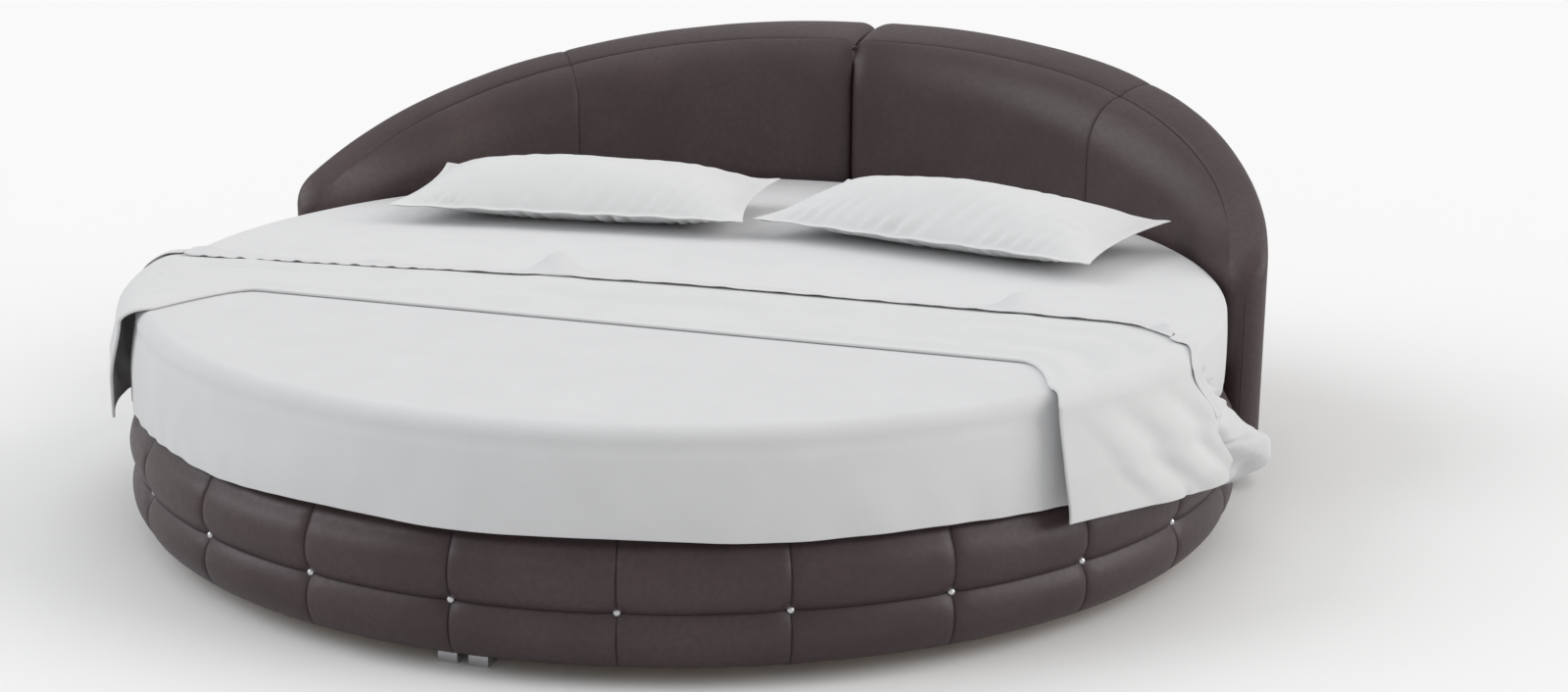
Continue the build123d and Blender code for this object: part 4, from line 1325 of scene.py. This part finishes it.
# %% Puckers along the seam
def puckers(beside, away, pitch, phase):
    """Small folds that start at a seam and fade out over the pillow, from places beside and away from it."""
    wave = np.sin(beside * 2 * math.pi / pitch + 2.6 * np.sin(beside * 11 + phase) + phase)
    uneven = np.maximum(0.65 + 0.9 * ripples(beside, away, length=0.16, seed=int(phase)), 0.1)
    return wave * uneven * np.exp(-((away / (115 * MM)) ** 1.3)) * fade(away, 0.0, 16 * MM)


def case_folds(x, y, a, b, seed):
    """Puckers of the upper and of the lower side, in metres. Those of the long seams fade at the ends."""
    width, depth = pillow_size
    from_front, from_back = (1 + b)[None, :] * depth / 2, (1 - b)[None, :] * depth / 2
    from_end = (1 - abs(a))[:, None] * width / 2
    inside = fade(from_end, 0.02, 0.14)
    above = 4.6 * puckers(x - 0.45 * y, from_front, pitch=0.043, phase=seed)
    above = (above + 2.2 * puckers(x, from_back, pitch=0.052, phase=seed + 2)) * inside
    above = above + 1.2 * puckers(y, from_end, pitch=0.045, phase=seed + 4)
    below = 4.6 * puckers(x, from_front, pitch=0.036, phase=seed + 1) * inside
    return above * MM, below * MM


# %% From the filling to a case
def case_layers(heights, seed):
    """Upper and lower layer of one pillow, lying flat round its own middle."""
    a, b = both_ways(56, 1.3) * 2 - 1, both_ways(34, 1.4) * 2 - 1
    width, depth = pillow_size
    inner_a = np.clip(a / (1 - 2 * flange / width), -1, 1)
    inner_b = np.clip(b / (1 - 2 * flange / depth), -1, 1)
    full = fullness(heights, inner_a, inner_b)
    x, y = case_outline(a[:, None], b[None, :], hollow=24 * MM)
    above, below = case_folds(x, y, inner_a, inner_b, seed)
    soft = 1 + 0.05 * ripples(x, y, length=0.30, seed=seed)
    edge = np.minimum((1 - abs(a))[:, None] * width / 2, (1 - abs(b))[None, :] * depth / 2)
    layer = 1.4 * MM * np.sqrt(1 - (1 - np.clip(edge / (3 * MM), 0, 1)) ** 2)
    rim_wave = 2.0 * np.sin(np.arctan2(y, x) * 2 + seed) + 1.2 * np.sin(x * 61 + seed)
    rim_wave = rim_wave * MM * (1 - fade(edge, 0, 50 * MM))
    upper = np.stack([x, y, rim_wave + layer + filling_above * full * soft + above], axis=-1)
    lower = np.stack([x, y, rim_wave - layer - filling_below * full**1.05 - below], axis=-1)
    return upper, lower


# %% The dressed pillows
pillow_level = 451.6 * MM
soft_zone = 8 * MM
lean_back = 3.3


def make_pillow(name, heights, spot, turn, seed):
    """One pillow in its place on the bed, its underside pressed flat by the sheet."""
    place = Matrix.Translation(spot) @ Matrix.Rotation(math.radians(turn), 4, "Z")
    place = np.array(place @ Matrix.Rotation(math.radians(lean_back), 4, "X"))
    upper, lower = case_layers(heights, seed)
    layers = []
    for grid in (upper, lower[::-1]):
        grid = grid @ place[:3, :3].T + place[:3, 3]
        over = np.maximum(grid[..., 2] - pillow_level, 0.0)
        pressed = np.where(over < soft_zone, over * 0.5 + over**2 / (2 * soft_zone), over)
        grid[..., 2] = pillow_level + pressed
        layers.append(grid)
    pillow = make_piece(name, layers, maps=[grid[..., :2] for grid in layers])
    join_close(pillow, distance=0.0001)
    return pillow


heights = bag_heights()
print("heights read from the bag:", heights.shape)
pillows = {}
for name, bag, spot, turn, seed in (
    ("left", heights, (-0.434, 0.492, 0.5023), 7.0, 71),
    ("right", heights[::-1], (0.447, 0.494, 0.5023), -14.0, 84),
):
    pillow = make_pillow(f"flanged_pillow_{name}", bag, spot, turn, seed)
    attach(pillow, f"pillow_{name}")
    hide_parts(f"pillow_{name}")
    pillows[name] = pillow

# %% [markdown]
# ## Leather
#
# The leather is dark brown with a soft sheen. Its grain is a pattern of fine pebbles with a few longer
# creases, and from further away one sees a soft mottle. Down in the seams its colour is painted almost
# black, as painted shade, because little light gets in there. The pebbles come from a cell pattern, the
# creases and the mottle from noise, and the painted seam shade from the mark that the mesh carries.

# %% Leather
# Painted shade: the near-black colour that the seams and the base's crease are darkened towards.
painted_seam_shade = (0.012, 0.007, 0.008)


def leather(dark, light, roughness):
    """Grained leather between two colours, with painted shade at its seams."""
    def make(link):
        where = place_on(link)
        seam = link.node("ShaderNodeAttribute", {"attribute_name": "seam"}, None, "Fac")
        patches = clouds(link, where, per_metre=5.0, detail=5.0)
        mottle = clouds(link, where, per_metre=85.0)
        pebbles = cells(link, where, 620.0)
        colour = link.mix(patches.between(0.3, 0.7), rgba(dark), rgba(light))
        colour = link.mix(mottle.between(0.35, 0.65) * 0.30, colour, rgba(dark, 0.72))
        colour = link.mix(pebbles.between(0.55, 0.95) * 0.35, colour, rgba(dark, 0.5))
        # Painted shade: the seam mark darkens the colour almost to black.
        colour = link.mix(seam * 0.85, colour, rgba(painted_seam_shade))
        grain = (1 - pebbles.between(0.2, 0.8)) + clouds(link, where, per_metre=45.0, detail=6.0) * 0.8
        rough = roughness + (patches - 0.5) * 0.12 + (mottle - 0.5) * 0.16 + seam * 0.25
        normal = relief(link, grain, depth=0.12 * MM, strength=0.55)
        normal = relief(link, mottle, depth=0.45 * MM, strength=0.5, under=normal)
        normal = relief(link, clouds(link, where, per_metre=14.0), depth=1.6 * MM, strength=0.5, under=normal)
        return {"Base Color": colour, "Roughness": rough, "Normal": normal, "Specular IOR Level": 0.40}
    return make


finishes = {}
for name, dark, light, roughness in (
    ("cover_leather", (0.056, 0.036, 0.038), (0.072, 0.048, 0.050), 0.40),
    # The headboard's leather is the base's leather painted a little lighter, as painted light on its inner
    # faces.
    ("headboard_leather", (0.061, 0.040, 0.041), (0.078, 0.053, 0.054), 0.44),
    ("back_panel_leather", (0.052, 0.034, 0.036), (0.066, 0.044, 0.046), 0.48),
):
    finishes[name] = finish(name, leather(dark, light, roughness))

# %% [markdown]
# ## Cotton
#
# All the bedding is white cotton, but no two pieces are quite the same white. Close up, cotton is a plain
# weave of threads about half a millimetre apart, and further away it has small soft creases. The weave is
# two sine waves multiplied, read from the cloth's own flat places so that it follows the folds. The
# mattress's ticking is the same recipe with thicker thread.

# %% Cotton
def cotton(tint, creases, thread):
    """White cotton in this tint, with creases this deep and a plain weave."""
    def make(link):
        cloth = link.node("ShaderNodeSeparateXYZ", None, {0: place_on(link, "UV")})
        pitch = 2 * math.pi / thread
        weave = link.sum_of("SINE", cloth * pitch) * link.sum_of("SINE", cloth.other("Y") * pitch)
        where = place_on(link)
        soft = clouds(link, where, per_metre=9.0, detail=4.0)
        fine = clouds(link, where, per_metre=70.0, detail=5.0)
        colour = link.mix(soft.between(0.3, 0.7), rgba(tint), rgba(tint, 0.975))
        colour = link.mix(weave.between(-1.0, 1.0) * 0.12, colour, rgba(tint, 0.9))
        normal = relief(link, weave, depth=0.05 * MM, strength=0.35)
        normal = relief(link, soft + fine * 0.12, depth=creases, strength=0.6, under=normal)
        return {
            "Base Color": colour,
            "Roughness": 0.86 + (fine - 0.5) * 0.08,
            "Normal": normal,
            "Specular IOR Level": 0.25,
            "Sheen Weight": 0.12,
            "Sheen Roughness": 0.5,
        }
    return make


for name, tint, creases, thread in (
    ("fitted_sheet_cotton", (0.76, 0.765, 0.775), 3 * MM, 0.55 * MM),
    ("top_sheet_cotton", (0.74, 0.745, 0.755), 4 * MM, 0.55 * MM),
    ("throw_cotton", (0.75, 0.755, 0.76), 4 * MM, 0.8 * MM),
    ("pillow_cotton", (0.78, 0.785, 0.79), 3 * MM, 0.55 * MM),
    ("mattress_ticking", (0.72, 0.71, 0.69), 2 * MM, 1.4 * MM),
):
    finishes[name] = finish(name, cotton(tint, creases, thread))

# %% [markdown]
# ## Wood
#
# The frame has three woods. Plywood shows broad, lively grain on its faces and thin dark and light layers
# on its edges. Softwood has straight lines with soft, wider growth rings. Beech is close and even with
# short dark flecks. One recipe serves them all: a noise that is stretched along the grain, read through
# bands of different width. A mask from the direction that a face looks in chooses between the plywood's
# face and its layered edge.

# %% Grain
def grained(link, stretch, per_metre, bands):
    """Streaky wood grain from 0 to 1, long in the direction that is stretched."""
    where = stretched(link, place_on(link), stretch)
    drift = clouds(link, where, per_metre, detail=4.0)
    rings = link.sum_of("SINE", drift * bands) * 0.5 + 0.5
    return rings * 0.7 + clouds(link, where, per_metre * 9, detail=5.0) * 0.3


def ply_edges(link):
    """Dark and light layers as a mask, and a second mask that is 1 on level faces and 0 on upright ones."""
    up = link.node("ShaderNodeSeparateXYZ", None, {0: place_on(link)}, "Z")
    normal = link.node("ShaderNodeNewGeometry", None, None, "Normal")
    level = link.node("ShaderNodeSeparateXYZ", None, {0: normal}, "Z")
    plies = link.sum_of("SINE", up * (2 * math.pi / (3.0 * MM))).between(-0.3, 0.3)
    return plies, link.sum_of("ABSOLUTE", level).between(0.5, 0.8)


# %% Wood
def wood(light, dark, stretch, per_metre, bands, layered):
    """Sawn and sanded wood between two colours."""
    def make(link):
        streaks = grained(link, stretch, per_metre, bands)
        colour = link.mix(streaks, rgba(light), rgba(dark))
        height = streaks
        if layered:
            plies, level = ply_edges(link)
            colour = link.mix(level, link.mix(plies, rgba(light, 0.62), rgba(light)), colour)
            height = plies * (1 - level) + streaks * level
        normal = relief(link, height, depth=0.15 * MM, strength=0.6)
        return {"Base Color": colour, "Roughness": 0.58 + streaks * 0.12, "Normal": normal}
    return make


for name, light, dark, stretch, per_metre, bands in (
    ("plywood", (0.56, 0.43, 0.29), (0.42, 0.30, 0.19), (1.0, 0.16, 1.0), 9.0, 26.0),
    ("softwood", (0.66, 0.47, 0.27), (0.50, 0.31, 0.15), (1.0, 0.12, 0.12), 12.0, 40.0),
    ("beech", (0.62, 0.42, 0.26), (0.50, 0.32, 0.18), (0.07, 1.0, 1.0), 30.0, 18.0),
):
    finishes[name] = finish(name, wood(light, dark, stretch, per_metre, bands, name == "plywood"))

# %% [markdown]
# ## Metal and plastic
#
# The beams, legs and brackets are powder-coated steel, which has a fine dimpled skin. The bolts are
# zinc-plated, with pale crystal patches. The feet are polished and slightly brushed, and the buttons are
# satin. The slat holders and glides are black plastic with a fine spark-eroded texture.

# %% Steel
def coated_steel(link):
    """Powder-coated steel with a fine dimpled skin."""
    where = place_on(link)
    dimples = clouds(link, where, per_metre=420.0, detail=2.0)
    dust = clouds(link, where, per_metre=8.0, detail=4.0)
    dusty = dust.between(0.45, 0.75) * 0.4
    colour = link.mix(dusty, rgba((0.022, 0.022, 0.024)), rgba((0.045, 0.044, 0.043)))
    normal = relief(link, dimples, depth=0.06 * MM, strength=0.6)
    return {"Base Color": colour, "Roughness": 0.42 + dust * 0.14, "Normal": normal}


def plated_steel(link):
    """Zinc plate with pale crystal patches."""
    grey = link.node("ShaderNodeSeparateXYZ", None, {0: cells(link, place_on(link), 260.0, "Color")})
    colour = link.mix(grey, rgba((0.50, 0.50, 0.49)), rgba((0.66, 0.66, 0.64)))
    return {"Base Color": colour, "Metallic": 1.0, "Roughness": 0.32 + grey * 0.18}


# %% Polished metal and plastic
def polished_metal(link):
    """Polished metal with the faint lines of its brush."""
    where = place_on(link)
    lines = clouds(link, stretched(link, where, (1.0, 1.0, 0.05)), per_metre=900.0, detail=2.0)
    stains = clouds(link, where, per_metre=60.0)
    colour = link.mix(stains, rgba((0.80, 0.80, 0.82)), rgba((0.70, 0.70, 0.73)))
    normal = relief(link, lines, depth=0.01 * MM, strength=0.4)
    return {"Base Color": colour, "Metallic": 1.0, "Roughness": 0.20 + stains * 0.10, "Normal": normal}


def satin_button(link):
    """The buttons' pale satin metal."""
    stains = clouds(link, place_on(link), per_metre=90.0)
    colour = link.mix(stains, rgba((0.80, 0.80, 0.82)), rgba((0.68, 0.68, 0.71)))
    return {"Base Color": colour, "Metallic": 0.85, "Roughness": 0.26 + stains * 0.12}


def moulded_plastic(link):
    """Black plastic with a fine eroded texture."""
    where = place_on(link)
    texture = clouds(link, where, per_metre=1500.0, detail=2.0)
    scuffs = clouds(link, where, per_metre=35.0, detail=5.0).between(0.5, 0.8)
    colour = link.mix(scuffs * 0.5, rgba((0.018, 0.018, 0.019)), rgba((0.040, 0.040, 0.041)))
    normal = relief(link, texture, depth=0.03 * MM, strength=0.6)
    return {"Base Color": colour, "Roughness": 0.5 + scuffs * 0.15, "Normal": normal}


for name, make in (
    ("black_steel", coated_steel),
    ("zinc_steel", plated_steel),
    ("foot_silver", polished_metal),
    ("button_silver", satin_button),
    ("black_plastic", moulded_plastic),
):
    finishes[name] = finish(name, make)

# %% [markdown]
# ## Give every part its finish
#
# The record names the finish of every node, and each new piece takes its own from a short list. So one
# loop dresses the frame, and another dresses the pieces.

# %% Hand out the finishes
for entry in frame["record"]["subparts"]:
    node = frame["nodes"][entry["node"]]
    node.data.materials.clear()
    node.data.materials.append(finishes[entry["material_slot"]])

dressed = {
    "cover_leather": list(base_covers.values()),
    "headboard_leather": list(headboards.values()),
    "mattress_ticking": [mattress],
    "fitted_sheet_cotton": [fitted],
    "top_sheet_cotton": [sheet],
    "throw_cotton": [throw],
    "pillow_cotton": list(pillows.values()),
}
for slot_name, pieces in dressed.items():
    for piece in pieces:
        piece.data.materials.append(finishes[slot_name])
print("dressed", sum(len(pieces) for pieces in dressed.values()), "pieces")

# %% [markdown]
#
# The Standard view shows colours as they are written.

# %% The view
bpy.context.scene.view_settings.view_transform = "Standard"
